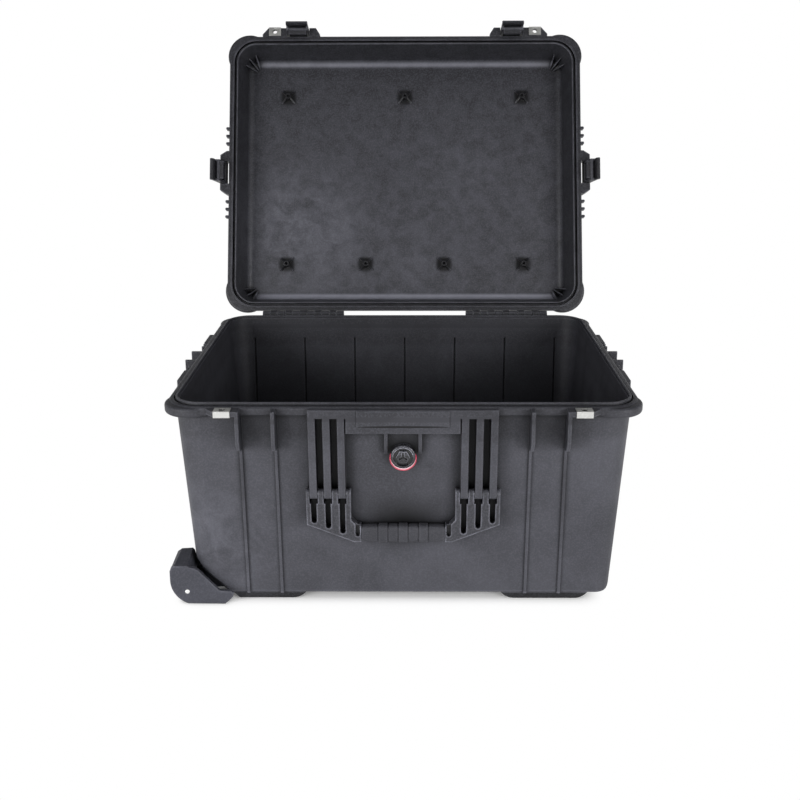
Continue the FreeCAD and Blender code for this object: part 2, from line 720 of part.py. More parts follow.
def base_shell():
    body = tapered(wall_n(FOOT_HEIGHT), FOOT_HEIGHT, wall_n(BASE_HEIGHT), BASE_HEIGHT)
    body = rounded(body, BOTTOM_ROUND, at_level(FOOT_HEIGHT))
    body = carved(body, end_corners())
    pieces = [body, rim_flange(BASE_HEIGHT - FLANGE_DEPTH, BASE_HEIGHT)]
    pieces += bumpers(BASE_HEIGHT - BUMPER_DEPTH, BASE_HEIGHT - BUMPER_STEP)
    for _, wall, a, _ in LATCHES:
        for s in SIDES:
            pieces.append(on_wall(guard(a + s * GUARD_OFFSET), wall))
            if wall == "front":
                pieces.append(on_wall(wall_rib(a + s * GUARD_OFFSET, GUARD_FOOT_Z + 8.0), "front"))
                pieces.append(on_wall(wall_rib(a + s * GUARD_OFFSET, BASE_HEIGHT - FLANGE_DEPTH), "rear"))
    for wall in HANDLE_WALLS:
        pieces += handle_station(wall)
    for wall in ("left", "right"):
        pieces += teeth(wall, BASE_HEIGHT - FLANGE_DEPTH + 1.0, BASE_HEIGHT - BUMPER_STEP)
    pieces.append(nameplate())
    pieces += [valve_rib(s * VALVE_RIB_X) for s in SIDES]
    pieces += [base_ear(s) for s in SIDES]
    pieces += [knuckle(a, True) for a in knuckle_places(0)]
    pieces += [foot(sx * FOOT_X, sy * FOOT_Y) for sx in SIDES for sy in SIDES]
    shell = joined(pieces)

    tongue_n = MOUTH_N + TONGUE_INSET
    drain_n = tongue_n + TONGUE_WIDTH
    end = FLANGE_LENGTH / 2 + 10.0
    cuts = [base_cavity()] + inner_lines()
    cuts.append(box(-TUNNEL_START, end, -TUNNEL_HALF, TUNNEL_HALF, -1.0, TUNNEL_Z))
    cuts += well_wedge(0.0, WELL_Y)
    cuts.append(band(drain_n, drain_n + DRAIN_WIDTH, BASE_HEIGHT - DRAIN_DEPTH, BASE_HEIGHT + 1.0))
    cuts += hinge_holes()
    pin = HANDLE_PIN_RADIUS + PIN_CLEARANCE
    half = HANDLE_HALF + 5.0
    cuts += [on_wall(hung(rod(pin, -half, half, 0, 0)), wall) for wall in HANDLE_WALLS]
    cuts.append(valve_placed(disc(VALVE_STEM + PIN_CLEARANCE, -20.0, 20.0)))
    cuts += bracket_screw_holes(SCREW_RADIUS + PIN_CLEARANCE, SCREW_BITE + 0.5)
    for x, y in guide_screw_places():
        place = Vector(x, y, TUNNEL_Z - 1.0)
        cuts.append(Part.makeCylinder(SCREW_RADIUS + PIN_CLEARANCE, SCREW_BITE + 1.3, place))
    shell = carved(shell, cuts)

    tongue = band(tongue_n, drain_n, BASE_HEIGHT - 1.0, BASE_HEIGHT + TONGUE_HEIGHT)
    tongue = rounded(tongue, 0.8, at_level(BASE_HEIGHT + TONGUE_HEIGHT))
    return joined([shell, tongue])


def lid_boss(x, y):
    # four sloping fins about a short post with a coned tip
    reach = BOSS_SPAN / 2
    low = CEILING_Z - BOSS_HEIGHT
    fins = []
    for turn in (45.0, 135.0):
        outline = [
            (-reach, CEILING_Z + 1.0),
            (-reach, CEILING_Z - 3.0),
            (-BOSS_POST, low + 2.0),
            (BOSS_POST, low + 2.0),
            (reach, CEILING_Z - 3.0),
            (reach, CEILING_Z + 1.0),
        ]
        fins.append(turned(profile(outline, -BOSS_FIN / 2, BOSS_FIN / 2), UP, turn, ORIGIN))
    post = Part.makeCylinder(BOSS_POST, BOSS_HEIGHT + 1.0, Vector(0, 0, low))
    cone = Part.makeCone(BOSS_POST / 2, 0.0, 5.0, Vector(0, 0, low))
    return shifted(joined([post] + fins).cut(cone), x, y, 0)


def lid_bosses():
    places = [(x, -FRONT_BOSS_Y) for x in (-FRONT_BOSS_X, 0.0, FRONT_BOSS_X)]
    places += [(x, REAR_BOSS_Y) for x in (-REAR_BOSS_X, REAR_BOSS_X)]
    places += [(x, REAR_BOSS_Y) for x in (-REAR_BOSS_INNER_X, REAR_BOSS_INNER_X)]
    return [lid_boss(x, y) for x, y in places]


def lid_gussets():
    # three thin webs in each inner corner, from the ceiling down the wall
    found = []
    inner = LIP_N - LID_LEAN
    for sx, sy, turn in CORNERS:
        for step in (15.0, 45.0, 75.0):
            outline = [
                (inner - GUSSET_REACH, CEILING_Z + 1.0),
                (inner - GUSSET_REACH, CEILING_Z - 3.0),
                (inner + 3.0, CEILING_Z - GUSSET_DEPTH),
                (inner + 6.0, CEILING_Z - GUSSET_DEPTH),
                (inner + 3.0, CEILING_Z + 1.0),
            ]
            web = profile(outline, -GUSSET_WIDTH / 2, GUSSET_WIDTH / 2)
            web = turned(web, UP, turn + step, ORIGIN)
            found.append(shifted(web, sx * CORNER_X, sy * CORNER_Y, 0))
    return found


def lid_ear(a, side, tip, foot_reach):
    # ear beside a latch that holds one end of its pivot pin
    z0 = LID_Z + EAR_DROP - LID_GAP / 2
    z1 = z0 + EAR_HEIGHT
    inner_n = LIP_N + 1.0
    outline = [
        (a + side * EAR_INNER, inner_n),
        (a + side * EAR_INNER, GUARD_N),
        (a + side * (EAR_INNER + tip), GUARD_N),
        (a + side * (EAR_INNER + foot_reach), GUARD_N - 11.0),
        (a + side * (EAR_INNER + foot_reach), inner_n),
    ]
    block = plan(outline, z0, z1)
    shape = [(inner_n, z0), (GUARD_N, z0), (GUARD_N, z0 + 11.0), (GUARD_N - 5.0, z1), (inner_n, z1)]
    span = EAR_INNER + foot_reach + 1.0
    return block.common(slab(shape, a - span, a + span))


def latch_holes():
    radius = LATCH_PIN_RADIUS + PIN_CLEARANCE
    reach = EAR_INNER + LATCH_PIN_HOLD + 0.5
    return [on_wall(rod(radius, a - reach, a + reach, -PIVOT_N, PIVOT_Z), wall) for _, wall, a, _ in LATCHES]


def lid_rib(a, wall):
    # rib that runs down the lid's wall in line with a base rib
    top = LID_TOP_Z - 6.0
    low = LID_Z + LID_FLANGE_DEPTH - 1.0
    start = LIP_N + WALL
    n_low = start - LID_LEAN * (low - LID_Z) / LID_HEIGHT
    n_top = start - LID_LEAN * (top - LID_Z) / LID_HEIGHT
    outline = [
        (n_low - WALL_EMBED, low),
        (n_low + RIB_PROUD, low),
        (n_top + RIB_PROUD, top),
        (n_top - LID_TOP_ROUND, top),
        (n_top - LID_TOP_ROUND, top - LID_TOP_ROUND),
    ]
    return on_wall(slab(outline, a - RIB_WIDTH / 2, a + RIB_WIDTH / 2), wall)


def lid_shell():
    outer_n = LIP_N + WALL
    body = tapered(outer_n, LID_Z, outer_n - LID_LEAN, LID_TOP_Z)
    body = rounded(body, LID_TOP_ROUND, at_level(LID_TOP_Z))
    pieces = [body, rim_flange(LID_Z, LID_Z + LID_FLANGE_DEPTH)]
    pieces += bumpers(LID_Z + BUMPER_STEP, LID_Z + BUMPER_DEPTH)
    for name, wall, a, _ in LATCHES:
        for s in SIDES:
            padlock = wall == "front" and s * a > 0
            tip = PADLOCK_TIP if padlock else EAR_TIP
            reach = PADLOCK_BASE if padlock else EAR_BASE
            pieces.append(on_wall(lid_ear(a, s, tip, reach), wall))
            if wall == "front":
                pieces.append(lid_rib(a + s * GUARD_OFFSET, "front"))
                pieces.append(lid_rib(a + s * GUARD_OFFSET, "rear"))
    for wall in ("left", "right"):
        pieces += teeth(wall, LID_Z + 1.0, LID_Z + LID_FLANGE_DEPTH - 1.0)
    pieces += [knuckle(a, False) for a in knuckle_places(1)]
    panel = box(-PANEL_LENGTH / 2, PANEL_LENGTH / 2, -PANEL_WIDTH / 2, PANEL_WIDTH / 2,
                LID_TOP_Z - 1.0, LID_TOP_Z + PANEL_HEIGHT)
    panel = rounded(panel, PANEL_CORNER, lambda edge: runs_along(edge, UP))
    pieces.append(rounded(panel, EDGE_ROUND, at_level(LID_TOP_Z + PANEL_HEIGHT)))
    shell = joined(pieces)

    slope = LID_LEAN / (CEILING_Z - LID_Z)
    cavity = tapered(LIP_N + 3.0 * slope, LID_Z - 3.0, LIP_N - LID_LEAN, CEILING_Z)
    cuts = [rounded(cavity, LID_CEILING_ROUND, at_level(CEILING_Z))]
    cuts.append(band(GROOVE_N, GROOVE_OUT_N, LID_Z - 1.0, SEAL_Z + SEAL_HEIGHT))
    cuts.append(band(FLANGE_N - RIM_STEP_WIDTH, FLANGE_N + 0.5, LID_Z - 1.0, LID_Z + RIM_STEP_DEPTH))
    cuts += hinge_holes()
    cuts += latch_holes()
    for s in SIDES:
        a = s * PADLOCK_X
        notch = box(a - CLIP_NOTCH, a + CLIP_NOTCH, -GUARD_N - 5.0, -PADLOCK_N + CLIP_NOTCH,
                    LID_Z - 1.0, LID_Z + EAR_HEIGHT + 5.0)
        seat = box(a - CLIP_WIDTH / 2, a + CLIP_WIDTH / 2, -GUARD_N - 5.0, -GUARD_N + CLIP_LEAF + 0.5,
                   LID_Z + EAR_DROP - LID_GAP / 2 + CLIP_DEPTH, LID_Z + EAR_HEIGHT + 5.0)
        cuts.append(on_wall(notch, "front"))
        cuts.append(on_wall(seat, "front"))
    shell = carved(shell, cuts)
    return opened(joined([shell] + lid_bosses() + lid_gussets()))


def lid_gasket():
    ring = band(GROOVE_N + SEAL_SIDE, GROOVE_OUT_N - SEAL_SIDE, SEAL_Z, SEAL_Z + SEAL_HEIGHT)
    return opened(rounded(ring, 1.2, at_level(SEAL_Z)))


def hinge_pins():
    half = HINGE_WIDTH / 2 - 1.0
    pins = [rod(HINGE_PIN_RADIUS, s * HINGE_X - half, s * HINGE_X + half, HINGE_Y, HINGE_Z) for s in SIDES]
    return group(pins)


def padlock_clip(side):
    # steel sheet folded over the ear's tip, with a hole through both leaves
    top = BASE_HEIGHT - EAR_DROP + LID_GAP / 2
    low = top - CLIP_DEPTH
    t = CLIP_SHEET
    outline = [
        (GUARD_N - CLIP_LEAF, top + t),
        (GUARD_N + t, top + t),
        (GUARD_N + t, low - t),
        (GUARD_N - CLIP_LEAF, low - t),
        (GUARD_N - CLIP_LEAF, low),
        (GUARD_N, low),
        (GUARD_N, top),
        (GUARD_N - CLIP_LEAF, top),
    ]
    a = side * PADLOCK_X
    clip = slab(outline, a - CLIP_WIDTH / 2, a + CLIP_WIDTH / 2)
    clip = rounded(clip, t * 0.7, lambda e: runs_along(e, ALONG) and e.Vertexes[0].Y < -GUARD_N - t / 2)
    hole = Part.makeCylinder(PADLOCK_RADIUS, CLIP_DEPTH + 10.0, Vector(a, -PADLOCK_N, low - 5.0))
    return on_wall(clip.cut(hole), "front")


def base_padlock_clips():
    return group([padlock_clip(s) for s in SIDES])


def lid_padlock_clips():
    middle = Vector(0, 0, BASE_HEIGHT + LID_GAP / 2)
    return group([opened(mirrored(padlock_clip(s), UP, middle)) for s in SIDES])


def latch_pivot_pins():
    reach = EAR_INNER + LATCH_PIN_HOLD
    pins = [rod(LATCH_PIN_RADIUS, a - reach, a + reach, -PIVOT_N, PIVOT_Z) for _, _, a, _ in LATCHES]
    return group([opened(on_wall(pin, latch[1])) for pin, latch in zip(pins, LATCHES)])


def latch_placed(shape, latch):
    # a latch piece drawn closed about the pivot axis, set at its resting angle on the opened lid
    _, wall, a, rest = latch
    swung = shifted(turned(shape, ALONG, -rest, ORIGIN), a, -PIVOT_N, PIVOT_Z)
    return opened(on_wall(swung, wall))


def hook_axis():
    out = HOOK_PIN_OUT - LATCH_PIVOT_OUT
    down = LATCH_PIVOT_UP + FLANGE_DEPTH + HOOK_CLEARANCE + HOOK_THICKNESS / 2 + 1.0
    return out, -down


def latch_lever(latch):
    half = LATCH_WIDTH / 2
    inner = 2.0
    outer = inner + LATCH_PLATE
    plate = slab([
        (inner, 6.5),
        (outer - 1.5, 6.5),
        (outer, 3.0),
        (outer, -LATCH_LENGTH + 8.0),
        (outer + LATCH_LIP, -LATCH_LENGTH + 2.5),
        (outer + LATCH_LIP - 1.0, -LATCH_LENGTH),
        (inner + 2.0, -LATCH_LENGTH),
        (inner, -LATCH_LENGTH + 3.5),
    ], -half, half)
    plate = rounded(plate, 1.2, lambda e: not runs_along(e, ALONG) and all(-v.Y > inner + 1.0 for v in e.Vertexes))
    out, down = hook_axis()
    pieces = [plate]
    for s in SIDES:
        a0 = min(s * half, s * (half - LATCH_CHEEK))
        cheek = slab([(-LATCH_BARREL, 0), (inner + 0.5, 5.0), (inner + 0.5, down - 4.0), (-4.5, down - 2.0)],
                     a0, a0 + LATCH_CHEEK)
        pieces.append(cheek)
    pieces.append(rod(LATCH_BARREL, -half, half, 0, 0))
    lever = joined(pieces)
    lever = lever.cut(rod(LATCH_PIN_RADIUS + PIN_CLEARANCE, -half - 5.0, half + 5.0, 0, 0))
    lever = lever.cut(rod(HOOK_PIN_RADIUS + PIN_CLEARANCE, -half - 5.0, half + 5.0, -out, down))
    return latch_placed(lever, latch)


def latch_hook(latch):
    half = LATCH_WIDTH / 2 - LATCH_CHEEK - HOOK_SIDE
    out, down = hook_axis()
    top = -(LATCH_PIVOT_UP + FLANGE_DEPTH + HOOK_CLEARANCE)
    tip = -LATCH_PIVOT_OUT - HOOK_REACH
    eye = 3.2
    claw = slab([
        (tip, top),
        (out, top - 0.2),
        (out, top - HOOK_THICKNESS),
        (tip + 1.0, top - HOOK_THICKNESS + 1.2),
        (tip, top - 2.4),
    ], -half, half)
    hook = joined([claw, rod(eye, -half, half, -out, down)])
    hook = hook.cut(rod(HOOK_PIN_RADIUS + PIN_CLEARANCE, -half - 5.0, half + 5.0, -out, down))
    return latch_placed(hook, latch)


def latch_hook_pin(latch):
    half = LATCH_WIDTH / 2 - 0.4
    out, down = hook_axis()
    return latch_placed(rod(HOOK_PIN_RADIUS, -half, half, -out, down), latch)


def handle_outline():
    half = HANDLE_HALF
    right = [
        (HANDLE_INNER, HANDLE_TOP),
        (half, HANDLE_TOP),
        (half, -HANDLE_SHOULDER),
        (HANDLE_KNEE, -HANDLE_DROP),
    ]
    rise = HANDLE_DROP - GRIP_HEIGHT
    inner = [(HANDLE_KNEE - 4.0, -rise + 1.0), (HANDLE_INNER, -rise + 9.0)]
    left = [(-x, z) for x, z in reversed(right)]
    return right + left + [(-x, z) for x, z in reversed(inner)] + inner


def handle_core_z():
    middle = -HANDLE_DROP + GRIP_HEIGHT / 2
    return middle - CORE_HEIGHT / 2, middle + CORE_HEIGHT / 2


def handle_frame(wall):
    depth = HANDLE_THICKNESS / 2
    frame = profile(handle_outline(), -depth, depth)
    top = HANDLE_TOP - 0.1
    frame = rounded(frame, depth - 0.5, lambda e: runs_along(e, ALONG) and e.Vertexes[0].Z > top)
    z0, z1 = handle_core_z()
    far = HANDLE_HALF + 10.0
    cuts = []
    grip_top = -HANDLE_DROP + GRIP_HEIGHT
    cuts.append(box(-GRIP_HALF, GRIP_HALF, -20, 20, z1, grip_top + 5.0))
    cuts.append(box(-GRIP_HALF, GRIP_HALF, -20, 20, -HANDLE_DROP - 5.0, z0))
    for s in SIDES:
        y0, y1 = sorted((s * CORE_DEPTH / 2, s * far))
        cuts.append(box(-GRIP_HALF, GRIP_HALF, y0, y1, -HANDLE_DROP - 5.0, grip_top + 5.0))
    width = LUG_WIDTH / 2 + LUG_SIDE
    for a in lug_places():
        cuts.append(box(a - width, a + width, -20, 20, -LUG_FACE - LUG_NOTCH, 20))
    # long slots that run on from the lugs' notches, each ending near the sloping lower edge
    for s in SIDES:
        for i in range(LUG_COUNT):
            a = LUG_OUTER - i * LUG_PITCH
            slope = (HANDLE_DROP - HANDLE_SHOULDER) / (HANDLE_HALF - HANDLE_KNEE)
            end = -HANDLE_SHOULDER - slope * (HANDLE_HALF - a) + 6.0
            half = SLOT_WIDTH / 2
            start = -LUG_FACE - LUG_NOTCH + 1.0
            cuts.append(box(s * a - half, s * a + half, -20, 20, end + half, start))
            cuts.append(Part.makeCylinder(half, 40, Vector(s * a, -20, end + half), BACK))
        # short blind pocket in the front face, beside the grip
        a = s * (GRIP_HALF + HANDLE_KNEE) / 2
        half = POCKET_WIDTH / 2
        low = -HANDLE_DROP + POCKET_RISE + half
        cuts.append(box(a - half, a + half, -20, -1, low, 0))
        cuts.append(Part.makeCylinder(half, 19, Vector(a, -20, low), BACK))
    frame = carved(frame, cuts)
    frame = frame.cut(rod(HANDLE_PIN_RADIUS + PIN_CLEARANCE, -far, far, 0, 0))
    return on_wall(hung(frame), wall)


def handle_grip(wall):
    z0, z1 = handle_core_z()
    half = GRIP_HALF - 0.3
    depth = GRIP_DEPTH / 2
    low = -HANDLE_DROP
    sleeve = box(-half, half, -depth, depth - 1.0, low, low + GRIP_HEIGHT)
    sleeve = rounded(sleeve, 5.0, lambda edge: runs_along(edge, ALONG))
    pieces = [sleeve]
    for i in (-1, 0, 1):
        a = i * GRIP_BAND_PITCH
        p = GRIP_BAND_PROUD
        ring = box(a - GRIP_BAND / 2, a + GRIP_BAND / 2, -depth - p, depth - 1.0, low - p, low + GRIP_HEIGHT + p)
        pieces.append(rounded(ring, 5.0, lambda edge: runs_along(edge, ALONG)))
    grip = joined(pieces)
    core = box(-GRIP_HALF, GRIP_HALF, -CORE_DEPTH / 2, CORE_DEPTH / 2, z0, z1)
    return on_wall(hung(grip.cut(core)), wall)


def handle_pins():
    outer = HANDLE_HALF - 1.0
    inner = HANDLE_INNER + 1.0
    pins = []
    for wall in HANDLE_WALLS:
        pins.append(on_wall(hung(rod(HANDLE_PIN_RADIUS, -outer, -inner, 0, 0)), wall))
        pins.append(on_wall(hung(rod(HANDLE_PIN_RADIUS, inner, outer, 0, 0)), wall))
    return group(pins)


def valve_body():
    back = -VALVE_RING_THICKNESS
    front = back - VALVE_KNOB_HEIGHT
    knob = disc(VALVE_KNOB, front, back)
    knob = rounded(knob, 1.5, lambda e: len(e.Vertexes) == 1 and e.Vertexes[0].Y < front + 0.1)
    dish = disc(VALVE_KNOB - 3.2, front - 1.0, front + 3.5)
    points = []
    for i in range(6):
        angle = math.radians(60 * i)
        points.append(Vector(9.0 * math.cos(angle), front + 0.5, 9.0 * math.sin(angle)))
    hexagon = prism(points, Vector(0, 5.0, 0))
    stem = disc(VALVE_STEM, back - 1.0, WALL + VALVE_NUT_HEIGHT + 2.0)
    body = joined([knob.cut(dish), hexagon, stem])
    for i in range(3):
        spoke = box(-1.3, 1.3, front - 1.0, front + 2.5, 0.0, 6.0)
        body = body.cut(turned(spoke, BACK, 120 * i, ORIGIN))
    return valve_placed(body)


def valve_ring():
    ring = disc(VALVE_RING, -VALVE_RING_THICKNESS, 0.0, -VALVE_RING_DROP)
    ring = rounded(ring, 0.8, lambda e: len(e.Vertexes) == 1 and e.Vertexes[0].Y < -1.0)
    return valve_placed(ring.cut(disc(VALVE_STEM + PIN_CLEARANCE, -20.0, 20.0)))


def valve_nut():
    points = []
    start = WALL * math.cos(math.radians(DRAFT))
    for i in range(6):
        angle = math.radians(60 * i)
        points.append(Vector(VALVE_NUT * math.cos(angle), start, VALVE_NUT * math.sin(angle)))
    nut = prism(points, Vector(0, VALVE_NUT_HEIGHT, 0))
    return valve_placed(nut.cut(disc(VALVE_STEM + PIN_CLEARANCE, -20.0, 40.0)))


def wheel_face(side):
    # side -1 is the wheel's outer face toward the front, +1 its inner face
    return -WHEEL_Y + side * WHEEL_WIDTH / 2


def wheel_bracket():
    x = WHEEL_X
    z = WHEEL_Z
    tail = x + BRACKET_TAIL
    rim = BRACKET_RIM
    y1 = wheel_face(-1) - WHEEL_SIDE
    y0 = y1 - BRACKET_PLATE
    y2 = wheel_face(1) + WHEEL_SIDE
    y3 = y2 + BRACKET_PLATE
    points = [
        (x - rim, z + 14.0),
        (x - rim, BRACKET_TOP - 9.0),
        (x - rim + 2.0, BRACKET_TOP - 3.5),
        (x - rim + 6.0, BRACKET_TOP - 0.8),
        (x + 1.5, BRACKET_TOP - 0.8),
        (x + 4.0, BRACKET_TOP - 2.8),
        (x + 11.0, BRACKET_TOP - 4.2),
        (x + 14.5, BRACKET_TOP - 6.3),
        (tail - 19.0, z + 0.8),
        (tail - 4.0, z),
        (tail, z - 2.5),
        (tail - 2.0, z - 9.0),
        (tail - 12.0, z - 18.4),
        (x, z - 18.0),
    ]
    edges = [Part.makeLine(Vector(a[0], y0, a[1]), Vector(b[0], y0, b[1])) for a, b in zip(points, points[1:])]
    low = Vector(x, y0, z - 18.0)
    middle = Vector(x - rim * 0.71, y0, z - rim * 0.26)
    edges.append(Part.Arc(low, middle, Vector(x - rim, y0, z + 14.0)).toShape())
    front = Part.Face(Part.Wire(edges)).extrude(Vector(0, BRACKET_PLATE, 0))
    front = rounded(front, 1.2, lambda e: all(abs(v.Y - y0) < 1e-6 for v in e.Vertexes))

    rear = profile([
        (x - 11.0, z - 10.0),
        (x - 11.0, z + 12.0),
        (x + 2.0, BRACKET_TOP - 6.0),
        (x + 11.0, BRACKET_TOP - 9.0),
        (saddle_point(48.0).x, saddle_point(48.0).z),
        (saddle_point(10.0).x, saddle_point(10.0).z),
        (x + 10.0, z - 15.0),
    ], y2, y3)
    # the fender over the wheel rises towards its rear end
    clear = z + WHEEL_RADIUS + SADDLE_GAP
    fender_front = [
        (x - rim + 0.4, BRACKET_TOP - 11.0),
        (x - rim + 0.4, BRACKET_TOP - 9.0),
        (x - rim + 2.4, BRACKET_TOP - 3.8),
        (x - rim + 6.2, BRACKET_TOP - 1.2),
        (x + 1.2, BRACKET_TOP - 1.2),
        (x + 4.0, BRACKET_TOP - 3.4),
        (x + 5.5, BRACKET_TOP - 10.0),
        (x + 8.0, clear - 0.5),
        (x - 4.0, clear + 1.0),
    ]
    fender_rear = [
        (x - rim + 0.4, BRACKET_TOP - 9.0),
        (x - rim + 0.4, BRACKET_TOP - 7.0),
        (x - rim + 2.8, BRACKET_TOP - 0.5),
        (x - rim + 8.5, BRACKET_TOP + 3.5),
        (x + 1.0, BRACKET_TOP + 4.5),
        (x + 3.5, BRACKET_TOP + 1.5),
        (x + 5.5, BRACKET_TOP - 8.0),
        (x + 8.0, clear - 0.5),
        (x - 4.0, clear + 1.0),
    ]
    ends = []
    for outline, y in ((fender_front, y0 + 1.0), (fender_rear, y3)):
        ends.append(Part.makePolygon([Vector(px, y, pz) for px, pz in outline + outline[:1]]))
    fender = Part.makeLoft(ends, True, True)
    step = SADDLE_THICKNESS * math.sqrt(0.5)
    a = saddle_point(16.0)
    b = saddle_point(66.0)
    saddle = profile([(a.x, a.z), (b.x, b.z), (b.x - step, b.z - step), (a.x - step, a.z - step)],
                     4.0 - CORNER_Y - wall_n(FOOT_HEIGHT), -WELL_Y - 1.5)
    bracket = joined([front, rear, fender, saddle])
    axle = Part.makeCylinder(AXLE_RADIUS + PIN_CLEARANCE, 100, Vector(x, y0 - 20, z), BACK)
    wheel = Part.makeCylinder(WHEEL_RADIUS + 1.0, y2 - y1, Vector(x, y1, z), BACK)
    bracket = carved(bracket, [axle, wheel])
    return carved(bracket, bracket_screw_holes(SCREW_RADIUS + PIN_CLEARANCE, 1.0))


def wheel_ring(r_in, r_out, y0, y1):
    centre = Vector(WHEEL_X, y0, WHEEL_Z)
    outer = Part.makeCylinder(r_out, y1 - y0, centre, BACK)
    return outer.cut(Part.makeCylinder(r_in, y1 - y0, centre, BACK))


def tyre():
    y0 = wheel_face(-1)
    y1 = wheel_face(1)
    outer = Part.makeCylinder(WHEEL_RADIUS, y1 - y0, Vector(WHEEL_X, y0, WHEEL_Z), BACK)
    outer = rounded(outer, TYRE_ROUND, lambda edge: len(edge.Vertexes) == 1)
    return outer.cut(Part.makeCylinder(WHEEL_RADIUS - TYRE_DEPTH, y1 - y0, Vector(WHEEL_X, y0, WHEEL_Z), BACK))


def hub():
    y0 = wheel_face(-1) + HUB_INSET
    y1 = wheel_face(1) - HUB_INSET
    body = wheel_ring(AXLE_RADIUS + 1.5, WHEEL_RADIUS - TYRE_DEPTH, y0, y1)
    seats = [wheel_ring(AXLE_RADIUS, BEARING_RADIUS, y0, y0 + BEARING_WIDTH)]
    seats.append(wheel_ring(AXLE_RADIUS, BEARING_RADIUS, y1 - BEARING_WIDTH, y1))
    dishes = [wheel_ring(BEARING_RADIUS + 2.0, WHEEL_RADIUS - TYRE_DEPTH - 2.0, y0, y0 + 3.0)]
    dishes.append(wheel_ring(BEARING_RADIUS + 2.0, WHEEL_RADIUS - TYRE_DEPTH - 2.0, y1 - 3.0, y1))
    return carved(body, seats + dishes)


def bearings():
    y0 = wheel_face(-1) + HUB_INSET
    y1 = wheel_face(1) - HUB_INSET
    bore = AXLE_RADIUS + PIN_CLEARANCE
    first = wheel_ring(bore, BEARING_RADIUS, y0, y0 + BEARING_WIDTH)
    return group([first, wheel_ring(bore, BEARING_RADIUS, y1 - BEARING_WIDTH, y1)])


def axle():
    y0 = wheel_face(-1) - WHEEL_SIDE - BRACKET_PLATE - AXLE_PROUD
    y1 = wheel_face(1) + WHEEL_SIDE + BRACKET_PLATE + AXLE_PROUD
    pin = Part.makeCylinder(AXLE_RADIUS, y1 - y0, Vector(WHEEL_X, y0, WHEEL_Z), BACK)
    return rounded(pin, 0.8, lambda edge: len(edge.Vertexes) == 1)


def bracket_screws():
    slope = Vector(1, 0, 1).normalize()
    found = []
    for point, y in bracket_screw_places():
        for s in SIDES:
            seat = Vector(point.x, s * y, point.z).sub(slope * SADDLE_THICKNESS)
            head = Part.makeCylinder(SCREW_HEAD, SCREW_HEAD_HEIGHT, seat.sub(slope * SCREW_HEAD_HEIGHT), slope)
            head = head.makeFillet(1.0, [e for e in head.Edges if len(e.Vertexes) == 1][:1])
            shank = Part.makeCylinder(SCREW_RADIUS, SADDLE_THICKNESS + SCREW_BITE, seat, slope)
            found.append(head.fuse(shank))
    return group(found)


def tube_z():
    return TUNNEL_Z - GUIDE_PLATE - SLEEVE_WALL - TUBE_FIT - TUBE_HEIGHT / 2


def pull_guide():
    z = tube_z()
    plate = box(-GUIDE_START, GUIDE_END, -GUIDE_HALF, GUIDE_HALF, TUNNEL_Z - GUIDE_PLATE, TUNNEL_Z)
    # skid under the middle of the case, level with the feet
    along = SKID_LENGTH / 2
    across = SKID_WIDTH / 2
    skid = box(-along, along, -across, across, 0, TUNNEL_Z - 1.0)
    skid = rounded(skid, 2.0, lambda edge: at_level(0)(edge))
    pieces = [plate, skid]
    cuts = []
    wide = TUBE_WIDTH / 2 + TUBE_FIT
    high = TUBE_HEIGHT / 2 + TUBE_FIT
    for s in SIDES:
        y = s * TUBE_Y
        sleeve = box(-GUIDE_START, GUIDE_END, y - wide - SLEEVE_WALL, y + wide + SLEEVE_WALL,
                     z - high - SLEEVE_WALL, TUNNEL_Z - 1.0)
        pieces.append(sleeve)
        cuts.append(box(-GUIDE_START - 5.0, GUIDE_END + 5.0, y - wide, y + wide, z - high, z + high))
    for x, y in guide_screw_places():
        cuts.append(Part.makeCylinder(SCREW_RADIUS + PIN_CLEARANCE, 10.0, Vector(x, y, TUNNEL_Z - 5.0)))
    return carved(joined(pieces), cuts)


def guide_screws():
    found = []
    for x, y in guide_screw_places():
        seat = TUNNEL_Z - GUIDE_PLATE
        head = Part.makeCylinder(SCREW_HEAD, SCREW_HEAD_HEIGHT, Vector(x, y, seat - SCREW_HEAD_HEIGHT))
        shank = Part.makeCylinder(SCREW_RADIUS, GUIDE_PLATE + SCREW_BITE, Vector(x, y, seat))
        found.append(head.fuse(shank))
    return group(found)


def tube_end():
    return PULL_X + PULL_DEPTH - YOKE_WALL - YOKE_DEPTH - BUTTON_TRAVEL - 3.0


def pull_tubes():
    z = tube_z()
    found = []
    for s in SIDES:
        y = s * TUBE_Y
        wide = TUBE_WIDTH / 2
        high = TUBE_HEIGHT / 2
        x0 = -TUBE_START
        x1 = tube_end()
        outer = box(x0, x1, y - wide, y + wide, z - high, z + high)
        outer = rounded(outer, 2.0, lambda edge: runs_along(edge, ALONG))
        wide -= TUBE_WALL
        high -= TUBE_WALL
        found.append(outer.cut(box(x0 - 1.0, x1 + 1.0, y - wide, y + wide, z - high, z + high)))
    return group(found)


def yoke_x():
    # near and far face of the yoke slot inside the pull handle's bar
    far = PULL_X + PULL_DEPTH - YOKE_WALL
    return far - YOKE_DEPTH - BUTTON_TRAVEL - BUTTON_FIT, far


